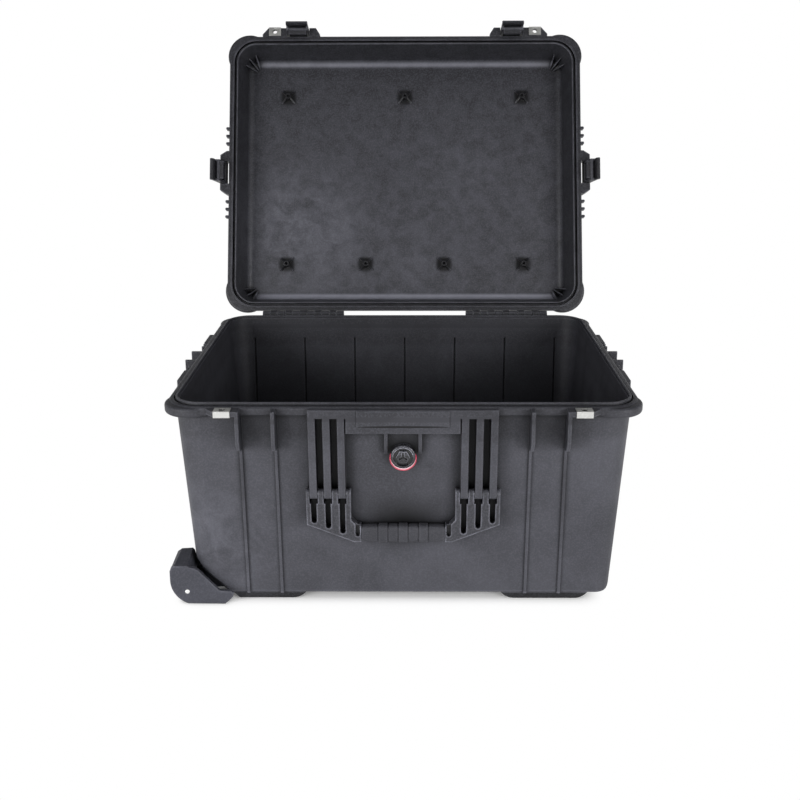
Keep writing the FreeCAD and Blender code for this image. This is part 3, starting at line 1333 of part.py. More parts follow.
def pull_grip():
    z = tube_z()
    z0 = z - PULL_HEIGHT / 2
    z1 = z + PULL_HEIGHT / 2
    bar = box(PULL_X, PULL_X + PULL_DEPTH, -PULL_HALF, PULL_HALF, z0, z1)
    bar = rounded(bar, 5.0, lambda edge: runs_along(edge, BACK))
    pieces = [bar]
    for s in SIDES:
        y = s * TUBE_Y
        socket = box(PULL_X - SOCKET_LENGTH, PULL_X + 8.0, y - SOCKET_HALF, y + SOCKET_HALF, z0 + 1.0, z1 - 1.0)
        pieces.append(rounded(socket, 2.0, lambda edge: runs_along(edge, ALONG)))
    grip = joined(pieces)
    cuts = []
    for s in SIDES:
        y = s * TUBE_Y
        wide = TUBE_WIDTH / 2
        high = TUBE_HEIGHT / 2
        seat = box(PULL_X - SOCKET_LENGTH - 5.0, tube_end(), y - wide, y + wide, z - high, z + high)
        cuts.append(rounded(seat, 2.0, lambda edge: runs_along(edge, ALONG)))
        cuts.append(rod(ROD_RADIUS + BUTTON_FIT, tube_end() - 1.0, yoke_x()[0] + 1.0, y, z))
    near, far = yoke_x()
    tall = BUTTON_HEIGHT / 2 + BUTTON_FIT
    reach = TUBE_Y + 5.0 + BUTTON_FIT
    cuts.append(box(near, far, -reach, reach, z - tall, z + tall))
    wide = BUTTON_HALF + BUTTON_FIT
    cuts.append(box(far - 1.0, PULL_X + PULL_DEPTH + 5.0, -wide, wide, z - tall, z + tall))
    return carved(grip, cuts)


def release_button():
    z = tube_z()
    tall = BUTTON_HEIGHT / 2
    far = yoke_x()[1]
    reach = TUBE_Y + 5.0
    yoke = box(far - YOKE_DEPTH - BUTTON_FIT, far - BUTTON_FIT, -reach, reach, z - tall, z + tall)
    face = PULL_X + PULL_DEPTH + BUTTON_PROUD
    cap = box(far - 2.0, face, -BUTTON_HALF, BUTTON_HALF, z - tall, z + tall)
    cap = rounded(cap, 1.5, lambda e: all(abs(v.X - face) < 1e-6 for v in e.Vertexes))
    return joined([yoke, cap])


def push_rods():
    far = yoke_x()[1] - YOKE_DEPTH - BUTTON_FIT
    return group([rod(ROD_RADIUS, -TUBE_START + 12.0, far, s * TUBE_Y, tube_z()) for s in SIDES])


def nodes():
    rear = lambda shape: mirrored(shape, BACK)
    found = {
        "base_shell": base_shell(),
        "lid_shell": lid_shell(),
        "lid_gasket": lid_gasket(),
        "hinge_pins": hinge_pins(),
        "base_padlock_clips": base_padlock_clips(),
        "lid_padlock_clips": lid_padlock_clips(),
        "latch_pivot_pins": latch_pivot_pins(),
        "handle_pins": handle_pins(),
        "valve_body": valve_body(),
        "valve_ring": valve_ring(),
        "valve_nut": valve_nut(),
        "bracket_screws": bracket_screws(),
        "pull_guide": pull_guide(),
        "guide_screws": guide_screws(),
        "pull_tubes": pull_tubes(),
        "pull_grip": pull_grip(),
        "release_button": release_button(),
        "push_rods": push_rods(),
    }
    for latch in LATCHES:
        found[latch[0] + "_lever"] = latch_lever(latch)
        found[latch[0] + "_hook"] = latch_hook(latch)
        found[latch[0] + "_hook_pin"] = latch_hook_pin(latch)
    for wall in HANDLE_WALLS:
        found[wall + "_handle"] = handle_frame(wall)
        found[wall + "_grip"] = handle_grip(wall)
    wheel_pieces = {
        "wheel_bracket": wheel_bracket,
        "tyre": tyre,
        "hub": hub,
        "bearings": bearings,
        "axle": axle,
    }
    for name, make in wheel_pieces.items():
        found["front_" + name] = make()
        found["rear_" + name] = rear(found["front_" + name])
    return found


def main():
    os.makedirs("parts", exist_ok=True)
    for name, shape in nodes().items():
        shape.exportStep("parts/" + name + ".step")


if __name__ == "__main__":
    main()
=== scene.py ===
import json
import math

import bpy
import numpy as np
from mathutils import Matrix, Vector


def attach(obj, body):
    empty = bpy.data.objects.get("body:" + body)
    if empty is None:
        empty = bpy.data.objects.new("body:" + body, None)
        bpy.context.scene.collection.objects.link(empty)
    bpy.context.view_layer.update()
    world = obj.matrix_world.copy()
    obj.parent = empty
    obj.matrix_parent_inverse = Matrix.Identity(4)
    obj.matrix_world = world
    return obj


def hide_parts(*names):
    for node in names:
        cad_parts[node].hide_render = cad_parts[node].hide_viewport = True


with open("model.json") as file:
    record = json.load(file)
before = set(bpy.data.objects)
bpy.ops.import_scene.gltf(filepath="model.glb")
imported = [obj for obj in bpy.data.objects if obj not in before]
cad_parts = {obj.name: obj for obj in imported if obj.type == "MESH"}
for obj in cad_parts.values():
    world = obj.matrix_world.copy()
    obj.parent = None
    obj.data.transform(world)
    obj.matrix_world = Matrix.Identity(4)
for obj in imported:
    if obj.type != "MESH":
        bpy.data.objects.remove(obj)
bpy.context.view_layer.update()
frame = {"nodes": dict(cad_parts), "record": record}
nodes = frame["nodes"]
print("frame loaded:", len(nodes), "nodes")


# Node helpers. A value that is a socket is linked, anything else is typed into the input.
def fill(tree, node, sockets):
    for key, value in sockets.items():
        if isinstance(value, bpy.types.NodeSocket):
            tree.links.new(value, node.inputs[key])
        else:
            node.inputs[key].default_value = value
    return node


def put(tree, kind, sockets=None, **settings):
    node = tree.nodes.new(kind)
    for key, value in settings.items():
        setattr(node, key, value)
    return fill(tree, node, sockets or {})


def maths(tree, operation, a, b=0.0, clamp=False):
    return put(tree, "ShaderNodeMath", {0: a, 1: b}, operation=operation, use_clamp=clamp).outputs[0]


def times(tree, a, b):
    return maths(tree, "MULTIPLY", a, b)


def vectors(tree, operation, a, b=(0.0, 0.0, 0.0)):
    node = put(tree, "ShaderNodeVectorMath", {0: a, 1: b}, operation=operation)
    return node.outputs["Value" if operation in ("DOT_PRODUCT", "DISTANCE", "LENGTH") else "Vector"]


def ranged(tree, value, low, high, toLow=0.0, toHigh=1.0):
    given = {"Value": value, "From Min": low, "From Max": high, "To Min": toLow, "To Max": toHigh}
    return put(tree, "ShaderNodeMapRange", given, interpolation_type="SMOOTHSTEP").outputs["Result"]


def blended(tree, factor, a, b):  # colour a where factor is 0, colour b where it is 1
    return put(tree, "ShaderNodeMix", {0: factor, 6: a, 7: b}, data_type="RGBA").outputs[2]


def noise(tree, place, scale, detail=2.0, roughness=0.5, distortion=0.0):
    given = {"Vector": place, "Scale": scale, "Detail": detail, "Roughness": roughness, "Distortion": distortion}
    return put(tree, "ShaderNodeTexNoise", given).outputs["Fac"]


def newGroup(name, inputs, outputs):
    tree = bpy.data.node_groups.new(name, "ShaderNodeTree")
    for label, kind, value in inputs:
        socket = tree.interface.new_socket(name=label, in_out="INPUT", socket_type="NodeSocket" + kind)
        if value is not None:
            socket.default_value = value
    for label, kind in outputs:
        tree.interface.new_socket(name=label, in_out="OUTPUT", socket_type="NodeSocket" + kind)
    return tree, tree.nodes.new("NodeGroupInput").outputs, tree.nodes.new("NodeGroupOutput").inputs


def useGroup(tree, group, sockets):
    return fill(tree, put(tree, "ShaderNodeGroup", node_tree=group), sockets).outputs


# Moulded grain: fine pebbles over a coarser orange-peel, broad cloudy patches, and pale flecks.
grainSet = {
    "coarseShare": 0.22, "fleckShare": 0.34, "fineWeight": 0.65, "coarseWeight": 0.35,
    "patchRange": (0.3, 0.7), "fleckRange": (0.42, 0.66),
}


def makeMouldGrain():
    tree, given, out = newGroup(
        "mouldGrain",
        [("Place", "Vector", None), ("Pebbles per metre", "Float", 1300.0), ("Patches per metre", "Float", 14.0)],
        [("Height", "Float"), ("Patches", "Float"), ("Flecks", "Float")],
    )
    place, pebbles = given["Place"], given["Pebbles per metre"]
    fine = noise(tree, place, pebbles, detail=2.0, roughness=0.6)
    fleck = noise(tree, place, times(tree, pebbles, grainSet["fleckShare"]), detail=3.0, roughness=0.7)
    coarse = noise(tree, place, times(tree, pebbles, grainSet["coarseShare"]), detail=1.0)
    broad = noise(tree, place, given["Patches per metre"], detail=4.0, roughness=0.62, distortion=0.4)
    fine = times(tree, fine, grainSet["fineWeight"])
    coarse = times(tree, coarse, grainSet["coarseWeight"])
    tree.links.new(maths(tree, "ADD", fine, coarse), out["Height"])
    tree.links.new(ranged(tree, broad, *grainSet["patchRange"]), out["Patches"])
    tree.links.new(ranged(tree, fleck, *grainSet["fleckRange"]), out["Flecks"])
    return tree


# Edge marks: a convex edge is where rays sent into the wall soon leave it, a crevice where rays sent out soon land,
# and a hollow where most rays sent out land on the same piece; the crevice and hollow masks paint shade.
wearSet = {
    "samples": 4, "hollowReach": 0.45, "patchRange": (0.3, 0.65), "leastWorn": 0.35,
    "edgeRange": (0.95, 0.45), "creviceRange": (0.85, 0.2), "hollowRange": (0.72, 0.30),
}


def makeEdgeWear():
    tree, given, out = newGroup(
        "edgeWear",
        [("Place", "Vector", None), ("Round", "Float", 0.0008), ("Reach", "Float", 0.003),
         ("Depth", "Float", 0.014), ("Breakup", "Float", 60.0)],
        [("WearAndGlint", "Float"), ("Crevice", "Float"), ("Hollow", "Float"), ("Normal", "Vector")],
    )

    def shut(distance, **settings):
        node = put(tree, "ShaderNodeAmbientOcclusion", {"Distance": distance}, samples=wearSet["samples"], **settings)
        return node.outputs["AO"]

    soft = put(tree, "ShaderNodeBevel", {"Radius": given["Round"]}, samples=wearSet["samples"])
    inner = shut(given["Reach"], inside=True, only_local=True)
    outer = shut(given["Depth"])
    deep = shut(wearSet["hollowReach"], only_local=True)
    patchy = noise(tree, given["Place"], given["Breakup"], detail=3.0, roughness=0.6)
    patchy = ranged(tree, patchy, *wearSet["patchRange"], wearSet["leastWorn"], 1.0)
    tree.links.new(times(tree, ranged(tree, inner, *wearSet["edgeRange"]), patchy), out["WearAndGlint"])
    tree.links.new(ranged(tree, outer, *wearSet["creviceRange"]), out["Crevice"])
    tree.links.new(ranged(tree, deep, *wearSet["hollowRange"]), out["Hollow"])
    tree.links.new(soft.outputs["Normal"], out["Normal"])
    return tree


# Scuffs: two sets of long thin streaks, each cut off by its own broad patches.
scuffSet = {
    "sets": (
        {"turn": (0.3, 0.5, 0.6), "stretch": (35.0, 900.0, 60.0), "patch": 9.0},
        {"turn": (1.2, 0.2, -0.9), "stretch": (60.0, 28.0, 1100.0), "patch": 12.0},
    ),
    "streakRange": (0.62, 0.74), "patchFrom": 0.95, "patchFull": 0.75,
}


def makeScuffs():
    tree, given, out = newGroup(
        "scuffs",
        [("Place", "Vector", None), ("Spread", "Float", 0.5)],
        [("Marks", "Float")],
    )
    marks = []
    for one in scuffSet["sets"]:
        mapping = {"Vector": given["Place"], "Rotation": one["turn"], "Scale": one["stretch"]}
        turned = put(tree, "ShaderNodeMapping", mapping).outputs["Vector"]
        streak = ranged(tree, noise(tree, turned, 1.0, detail=2.0, roughness=0.55), *scuffSet["streakRange"])
        begin = maths(tree, "SUBTRACT", scuffSet["patchFrom"], given["Spread"])
        where = ranged(tree, noise(tree, given["Place"], one["patch"]), begin, scuffSet["patchFull"])
        marks.append(times(tree, streak, where))
    tree.links.new(maths(tree, "MAXIMUM", *marks), out["Marks"])
    return tree


# Dust: more on faces that look up, broken by fine noise.
dustSet = {"facing": (0.2, 0.95), "scale": 38.0, "brokenRange": (0.35, 0.75)}


def makeDust():
    tree, given, out = newGroup(
        "settledDust",
        [("Place", "Vector", None), ("Amount", "Float", 0.3)],
        [("Dust", "Float")],
    )
    normal = put(tree, "ShaderNodeNewGeometry").outputs["Normal"]
    facing = put(tree, "ShaderNodeSeparateXYZ", {0: normal}).outputs["Z"]
    lying = ranged(tree, facing, *dustSet["facing"])
    broken = noise(tree, given["Place"], dustSet["scale"], detail=5.0, roughness=0.7)
    broken = ranged(tree, broken, *dustSet["brokenRange"])
    tree.links.new(times(tree, times(tree, lying, broken), given["Amount"]), out["Dust"])
    return tree


# Rolling lines: fine lines along one direction with smears across them.
rollingSet = {"smearRange": (0.38, 0.68)}


def makeRollingLines():
    tree, given, out = newGroup(
        "rollingLines",
        [("Place", "Vector", None), ("Stretch", "Vector", (40.0, 1800.0, 1800.0)), ("Smears", "Float", 55.0)],
        [("Lines", "Float"), ("Smears", "Float")],
    )
    along = vectors(tree, "MULTIPLY", given["Place"], given["Stretch"])
    smears = noise(tree, given["Place"], given["Smears"], detail=3.0, roughness=0.6, distortion=0.6)
    tree.links.new(noise(tree, along, 1.0, detail=3.0, roughness=0.6), out["Lines"])
    tree.links.new(ranged(tree, smears, *rollingSet["smearRange"]), out["Smears"])
    return tree


# Layer: a slice of the piece between two distances along a direction, its borders broken by noise.
layerSet = {"raggedScale": 45.0}


def makeLayer():
    tree, given, out = newGroup(
        "layer",
        [("Place", "Vector", None), ("Direction", "Vector", (0.0, 0.0, 1.0)), ("Start", "Float", 0.0),
         ("Full", "Float", 0.02), ("End", "Float", 1.0), ("Fade", "Float", 0.0015), ("Raggedness", "Float", 0.003)],
        [("Inside", "Float")],
    )
    far = vectors(tree, "DOT_PRODUCT", given["Place"], given["Direction"])
    ragged = maths(tree, "SUBTRACT", noise(tree, given["Place"], layerSet["raggedScale"], detail=3.0), 0.5)
    far = maths(tree, "ADD", far, times(tree, ragged, given["Raggedness"]))
    begun = ranged(tree, far, given["Start"], given["Full"])
    ended = ranged(tree, far, given["End"], maths(tree, "ADD", given["End"], given["Fade"]))
    tree.links.new(times(tree, begun, maths(tree, "SUBTRACT", 1.0, ended)), out["Inside"])
    return tree


# Rubbed patch: a cloudy pale stain that fades out round a point.
rubbedSet = {"scale": 30.0, "cloudRange": (0.3, 0.7)}


def makeRubbed():
    tree, given, out = newGroup(
        "rubbed",
        [("Place", "Vector", None), ("Middle", "Vector", (0.0, 0.0, 0.0)), ("Reach", "Float", 0.15)],
        [("Mask", "Float")],
    )
    near = ranged(tree, vectors(tree, "DISTANCE", given["Place"], given["Middle"]), given["Reach"], 0.0)
    cloudy = noise(tree, given["Place"], rubbedSet["scale"], detail=6.0, roughness=0.7, distortion=0.6)
    tree.links.new(times(tree, near, ranged(tree, cloudy, *rubbedSet["cloudRange"])), out["Mask"])
    return tree


# Dark spots: soft ellipsoids round a point, repeated along x at a pitch, used for painted shade.
def makeDarkSpots():
    tree, given, out = newGroup(
        "darkSpots",
        [("Place", "Vector", None), ("Middle", "Vector", (0.0, 0.0, 0.0)), ("Stretch", "Vector", (1.0, 1.0, 1.0)),
         ("Pitch", "Float", 10.0), ("Reach", "Float", 0.02), ("Core", "Float", 0.0)],
        [("Mask", "Float")],
    )
    offset = vectors(tree, "SUBTRACT", given["Place"], given["Middle"])
    parts = put(tree, "ShaderNodeSeparateXYZ", {0: offset}).outputs
    half = times(tree, given["Pitch"], 0.5)
    wrapping = {0: parts["X"], 1: half, 2: times(tree, half, -1.0)}
    across = put(tree, "ShaderNodeMath", wrapping, operation="WRAP").outputs[0]
    offset = put(tree, "ShaderNodeCombineXYZ", {"X": across, "Y": parts["Y"], "Z": parts["Z"]}).outputs[0]
    away = vectors(tree, "LENGTH", vectors(tree, "MULTIPLY", offset, given["Stretch"]))
    core = times(tree, given["Reach"], given["Core"])
    tree.links.new(ranged(tree, away, given["Reach"], core), out["Mask"])
    return tree


mouldGrain, edgeWear, scuffs, settledDust = makeMouldGrain(), makeEdgeWear(), makeScuffs(), makeDust()
rollingLines, layer, rubbed, darkSpots = makeRollingLines(), makeLayer(), makeRubbed(), makeDarkSpots()
print("shader groups made")


def startMaterial(name):
    material = bpy.data.materials.new(name)
    material.use_nodes = True
    tree = material.node_tree
    tree.nodes.clear()
    shader = put(tree, "ShaderNodeBsdfPrincipled")
    put(tree, "ShaderNodeOutputMaterial", {"Surface": shader.outputs[0]})
    return material, tree, shader, put(tree, "ShaderNodeTexCoord").outputs["Object"]


def wire(tree, shader, body, rough, bump):
    tree.links.new(body, shader.inputs["Base Color"])
    tree.links.new(rough, shader.inputs["Roughness"])
    tree.links.new(bump.outputs["Normal"], shader.inputs["Normal"])


def grey(level, tint=(1.0, 1.01, 1.2)):  # a black with a faint blue in it
    return (level * tint[0], level * tint[1], level * tint[2], 1.0)


def masked(tree, body, mask, amount, colour):  # some of a colour where the mask is
    return blended(tree, times(tree, mask, amount), body, colour)


def zoned(tree, place, grain, zone, body):  # another colour in one layer, or where two layers cross
    inside = useGroup(tree, layer, dict(zone["where"], Place=place))["Inside"]
    if "also" in zone:
        inside = times(tree, inside, useGroup(tree, layer, dict(zone["also"], Place=place))["Inside"])
    colour = blended(tree, grain["Patches"], zone["deep"], zone["pale"])
    return masked(tree, body, inside, zone.get("amount", 1.0), colour)


# Moulded plastic or rubber: two depths of one colour in patches, pale rubbed edges that on some parts are a painted
# highlight, scuffs, dust, painted shade in crevices, hollows and spots, pebbled bump.
# colours for painted shade in spots, deep inside and in crevices (with some grime), and for settled dust
mouldSet = {
    "shade": grey(0.006), "hollowShade": grey(0.003, (1.0, 1.05, 1.5)), "grimeAndShade": grey(0.004), "dust": grey(0.22),
    "roughSwing": 0.03, "wearPolish": 0.1, "dustRough": 0.3, "bumpDepth": 0.0004,
}


def mouldedMaterial(name, look):
    material, tree, shader, place = startMaterial(name)
    graining = {"Place": place, "Pebbles per metre": look["pebbles"], "Patches per metre": look["patches"]}
    grain = useGroup(tree, mouldGrain, graining)
    edge = useGroup(tree, edgeWear, {"Place": place, "Round": look["round"], "Reach": look["reach"]})
    marks = useGroup(tree, scuffs, {"Place": place, "Spread": look["scuffSpread"]})["Marks"]
    dust = useGroup(tree, settledDust, {"Place": place, "Amount": look["dust"]})["Dust"]
    body = blended(tree, grain["Patches"], look["deep"], look["pale"])
    for zone in look.get("layers", ()):
        body = zoned(tree, place, grain, zone, body)
    for stain in look.get("stains", ()):
        mask = useGroup(tree, rubbed, {"Place": place, "Middle": stain["middle"], "Reach": stain["reach"]})["Mask"]
        body = masked(tree, body, mask, stain["amount"], look["wornAndGlint"])
    body = masked(tree, body, grain["Flecks"], look["fleck"], look["wornAndGlint"])
    body = masked(tree, body, marks, look["scuff"], look["wornAndGlint"])
    body = masked(tree, body, edge["WearAndGlint"], look["wearAndGlint"], look["wornAndGlint"])
    for zone in look.get("covers", ()):  # over the wear
        body = zoned(tree, place, grain, zone, body)
    # painted shade in soft spots
    for shade in look.get("shades", ()):
        mask = useGroup(tree, darkSpots, dict(shade["where"], Place=place))["Mask"]
        body = masked(tree, body, mask, shade["amount"], mouldSet["shade"])
    # painted shade deep inside the case, where most rays land on the same piece
    body = masked(tree, body, edge["Hollow"], look["hollowShade"], mouldSet["hollowShade"])
    # painted shade, with some grime, in crevices
    body = masked(tree, body, edge["Crevice"], look["grimeAndShade"], mouldSet["grimeAndShade"])
    body = blended(tree, dust, body, mouldSet["dust"])
    swing = mouldSet["roughSwing"]
    rough = ranged(tree, grain["Patches"], 0.0, 1.0, look["rough"] + swing, look["rough"] - swing)
    rough = maths(tree, "SUBTRACT", rough, times(tree, edge["WearAndGlint"], mouldSet["wearPolish"]))
    rough = maths(tree, "ADD", rough, times(tree, dust, mouldSet["dustRough"]), clamp=True)
    bumping = {"Height": grain["Height"], "Strength": look["bump"], "Distance": mouldSet["bumpDepth"]}
    bump = put(tree, "ShaderNodeBump", dict(bumping, Normal=edge["Normal"]))
    shader.inputs["Specular IOR Level"].default_value = look["gloss"]
    wire(tree, shader, body, rough, bump)
    return material


# Bare metal: rolled lines, smears that dull it, slightly darker crevices.
metalSet = {
    "reach": 0.002, "smear": 0.45, "wearAndGlint": 0.6, "crevice": 0.5, "lineRange": (0.2, 0.8), "roughSwing": 0.08,
    "smearRough": 0.15, "bump": 0.08, "bumpDepth": 0.0002,
}


def metalMaterial(name, look):
    material, tree, shader, place = startMaterial(name)
    lines = useGroup(tree, rollingLines, {"Place": place, "Stretch": look["stretch"], "Smears": look["smears"]})
    edge = useGroup(tree, edgeWear, {"Place": place, "Round": look["round"], "Reach": metalSet["reach"]})
    body = blended(tree, lines["Lines"], look["deep"], look["pale"])
    body = masked(tree, body, lines["Smears"], metalSet["smear"], look["dull"])
    body = masked(tree, body, edge["WearAndGlint"], metalSet["wearAndGlint"], look["pale"])
    body = masked(tree, body, edge["Crevice"], metalSet["crevice"], look["dull"])
    swing = metalSet["roughSwing"]
    rough = ranged(tree, lines["Lines"], *metalSet["lineRange"], look["rough"] - swing, look["rough"] + swing)
    rough = maths(tree, "ADD", rough, times(tree, lines["Smears"], metalSet["smearRough"]))
    bumping = {"Height": lines["Lines"], "Strength": metalSet["bump"], "Distance": metalSet["bumpDepth"]}
    bump = put(tree, "ShaderNodeBump", dict(bumping, Normal=edge["Normal"]))
    shader.inputs["Metallic"].default_value = 1.0
    wire(tree, shader, body, rough, bump)
    return material


def between(direction, start, full, end, raggedness, fade=0.0015):  # a layer's values, in metres
    ends = {"Start": start, "Full": full, "End": end, "Fade": fade}
    return dict(ends, Direction=direction, Raggedness=raggedness)


def spots(middle, reach, stretch=(1.0, 1.0, 1.0), pitch=10.0, core=0.0):  # dark spots' values, in metres
    return {"Middle": middle, "Stretch": stretch, "Pitch": pitch, "Reach": reach, "Core": core}


upward, downward = (0.0, 0.0, 1.0), (0.0, 0.0, -1.0)
wallOut = (0.0, -0.99777, -0.06677)  # out from the front wall
lidOut = (0.0, 0.94552, -0.32557)  # from the opened lid's rim towards its top
lidUp = (0.0, 0.32557, 0.94552)  # from the hinges to the lid's front edge

shellLook = {
    "deep": grey(0.046), "pale": grey(0.066), "wornAndGlint": grey(0.24), "rough": 0.52, "gloss": 0.28, "bump": 0.35,
    "pebbles": 1300.0, "patches": 12.0, "round": 0.0014, "reach": 0.0025, "wearAndGlint": 0.3, "scuff": 0.07,
    "scuffSpread": 0.5, "dust": 0.08, "grimeAndShade": 0.9, "fleck": 0.10,
    "hollowShade": 0.86,  # painted shade: the inside is darkened
    "layers": [
        {  # the header over the handle is smoother and darker than the walls
            "where": between(upward, 0.226, 0.240, 1.0, 0.006),
            "deep": grey(0.033), "pale": grey(0.046),
        },
        {  # the rim is polished
            "where": between(upward, 0.2665, 0.2695, 1.0, 0.001),
            "deep": grey(0.027), "pale": grey(0.037),
        },
        {  # the feet are near black
            "where": between(downward, -0.0096, -0.0082, 1.0, 0.001),
            "deep": grey(0.004), "pale": grey(0.008),
        },
        {  # and a painted highlight on the edge above them
            "where": between(downward, -0.0145, -0.0120, -0.0108, 0.0006),
            "deep": grey(0.09), "pale": grey(0.12), "amount": 0.6,
        },
    ],
    "covers": [
        {  # a band under the rim, out of reach, isn't worn
            "where": between(upward, 0.2600, 0.2620, 0.2670, 0.0005),
            "deep": grey(0.031), "pale": grey(0.043),
        },
    ],
    "stains": [{"middle": (-0.25, -0.215, 0.08), "reach": 0.14, "amount": 0.24}],
    "shades": [
        # painted shade in the recess over the grip and along the handle, and round the valve
        {"where": spots((0.0, -0.2171, 0.116), 0.054, (0.6, 0.6, 1.0)), "amount": 1.0},
        {"where": spots((0.0, -0.2190, 0.160), 0.085, (1.1, 0.6, 0.8), core=0.5), "amount": 0.18},
        {"where": spots((0.0685, -0.220, 0.170), 0.034, (3.0, 0.6, 0.3), pitch=0.137), "amount": 0.4},
        {"where": spots((0.0, -0.2235, 0.219), 0.034, core=0.3), "amount": 0.85},
        # painted shadow along the plate's lower edge
        {"where": spots((0.0, -0.2432, 0.2548), 0.0017, (0.0275, 0.12, 1.0), core=0.85), "amount": 0.95},
    ],
}
lidLook = dict(
    shellLook, deep=grey(0.014), pale=grey(0.020), patches=46.0, scuff=0.08, rough=0.42, gloss=0.35, hollowShade=0.0,
    wearAndGlint=0.3, fleck=0.14, covers=[],
    layers=[
        {  # the ceiling inside is rubbed pale
            "where": between(lidOut, 0.187, 0.196, 0.199, 0.002),
            "deep": grey(0.029), "pale": grey(0.058),
        },
        {  # and darker again towards the front edge
            "where": between(lidUp, 0.50, 0.82, 2.0, 0.05),
            "deep": grey(0.012), "pale": grey(0.020), "amount": 0.6,
        },
        {  # painted highlight on the round between the ceiling and the front wall
            "where": between(lidUp, 0.7830, 0.7900, 0.7905, 0.001, fade=0.0075),
            "also": between(lidOut, 0.1800, 0.1860, 0.198, 0.0),
            "deep": grey(0.125), "pale": grey(0.155), "amount": 0.9,
        },
        {  # painted shade on a strip beside it
            "where": between(lidUp, 0.7600, 0.7780, 0.7790, 0.004, fade=0.0060),
            "also": between(lidOut, 0.1900, 0.1940, 0.198, 0.0),
            "deep": grey(0.014), "pale": grey(0.020), "amount": 0.5,
        },
        {  # painted highlight on the round over the hinges too
            "where": between(lidUp, 0.3680, 0.3740, 0.3800, 0.001, fade=0.0060),
            "also": between(lidOut, 0.1800, 0.1860, 0.198, 0.0),
            "deep": grey(0.25), "pale": grey(0.29), "amount": 0.9,
        },
    ],
    stains=[
        {"middle": (-0.18, 0.345, 0.40), "reach": 0.17, "amount": 0.34},
        {"middle": (0.02, 0.32, 0.33), "reach": 0.14, "amount": 0.14},
        {"middle": (0.10, 0.37, 0.50), "reach": 0.14, "amount": 0.08},
    ],
    shades=[  # painted shade on the screw bosses and a ring round each
        {"where": spots((0.0, 0.4201, 0.6294), 0.017, pitch=0.205, core=0.6), "amount": 0.9},
        {"where": spots((0.068, 0.3238, 0.3495), 0.017, pitch=0.1373, core=0.6), "amount": 0.9},
    ],
)
zoneKeys = ("layers", "covers", "stains", "shades")
partLook = dict({key: value for key, value in shellLook.items() if key not in zoneKeys}, hollowShade=0.0, gloss=0.35)
latchLook = dict(partLook, deep=grey(0.009), pale=grey(0.014), rough=0.42, bump=0.15, round=0.0006)
# the handle's pale edges are partly rubbed and partly a painted highlight
handleLook = dict(
    partLook, deep=grey(0.026), pale=grey(0.036), wornAndGlint=grey(0.36), rough=0.4, bump=0.2, round=0.0018, wearAndGlint=0.6)
bracketTint = (0.97, 1.0, 1.26)
bracketLook = dict(partLook, deep=grey(0.042, bracketTint), pale=grey(0.056, bracketTint), rough=0.5, wearAndGlint=0.5)
fittingLook = dict(partLook, deep=grey(0.018), pale=grey(0.026), rough=0.4, bump=0.12, round=0.0005)
gripLook = dict(partLook, deep=grey(0.030), pale=grey(0.043), rough=0.68, bump=0.3, pebbles=1900.0)
sealLook = dict(partLook, deep=grey(0.012), pale=grey(0.02), rough=0.6, gloss=0.4, bump=0.1, wearAndGlint=0.1)
tyreLook = dict(partLook, deep=grey(0.02), pale=grey(0.03), rough=0.75, gloss=0.3, wearAndGlint=0.5, dust=0.3)
hubLook = dict(partLook, deep=grey(0.05), pale=grey(0.07), rough=0.5, bump=0.15)
ringLook = dict(
    fittingLook, deep=(0.55, 0.003, 0.045, 1.0), pale=(0.66, 0.008, 0.07, 1.0), wornAndGlint=(1.0, 0.78, 0.83, 1.0),
    rough=0.18, gloss=0.6, wearAndGlint=0.08, scuff=0.1, dust=0.0, grimeAndShade=0.3,
    covers=[
        {  # painted highlight on the front of the collar's lower half; its outer edge stays crimson
            "where": between(downward, -0.2065, -0.2005, 0.0, 0.0004),
            "also": between(wallOut, 0.21086, 0.21107, 1.0, 0.00004),
            "deep": (0.92, 0.62, 0.68, 1.0), "pale": (1.0, 0.80, 0.84, 1.0),
        },
    ],
)
# the knob's pale edges are a painted highlight
valveLook = dict(
    fittingLook, deep=grey(0.006), pale=grey(0.010), wornAndGlint=grey(0.75), rough=0.22, gloss=0.6, round=0.0009,
    reach=0.0012, wearAndGlint=0.7,
    covers=[
        {  # the lower half of the knob is darkened over its pale edges, so only the upper half keeps the painted highlight
            "where": between(downward, -0.2165, -0.2090, 0.0, 0.0005),
            "deep": grey(0.012), "pale": grey(0.020), "amount": 0.85,
        },
    ],
)
steelLook = {
    "deep": (0.46, 0.46, 0.45, 1.0), "pale": (0.70, 0.70, 0.68, 1.0), "dull": (0.28, 0.28, 0.275, 1.0),
    "rough": 0.34, "stretch": (60.0, 1700.0, 1700.0), "smears": 120.0, "round": 0.0003,
}
axleLook = dict(
    steelLook, deep=(0.88, 0.88, 0.87, 1.0), pale=(0.97, 0.97, 0.96, 1.0), dull=(0.82, 0.82, 0.81, 1.0))
screwLook = dict(steelLook, deep=grey(0.03), pale=grey(0.06), dull=grey(0.02), rough=0.45)
tubeLook = dict(
    steelLook, deep=(0.56, 0.57, 0.58, 1.0), pale=(0.72, 0.73, 0.74, 1.0), dull=(0.42, 0.43, 0.44, 1.0), smears=30.0)

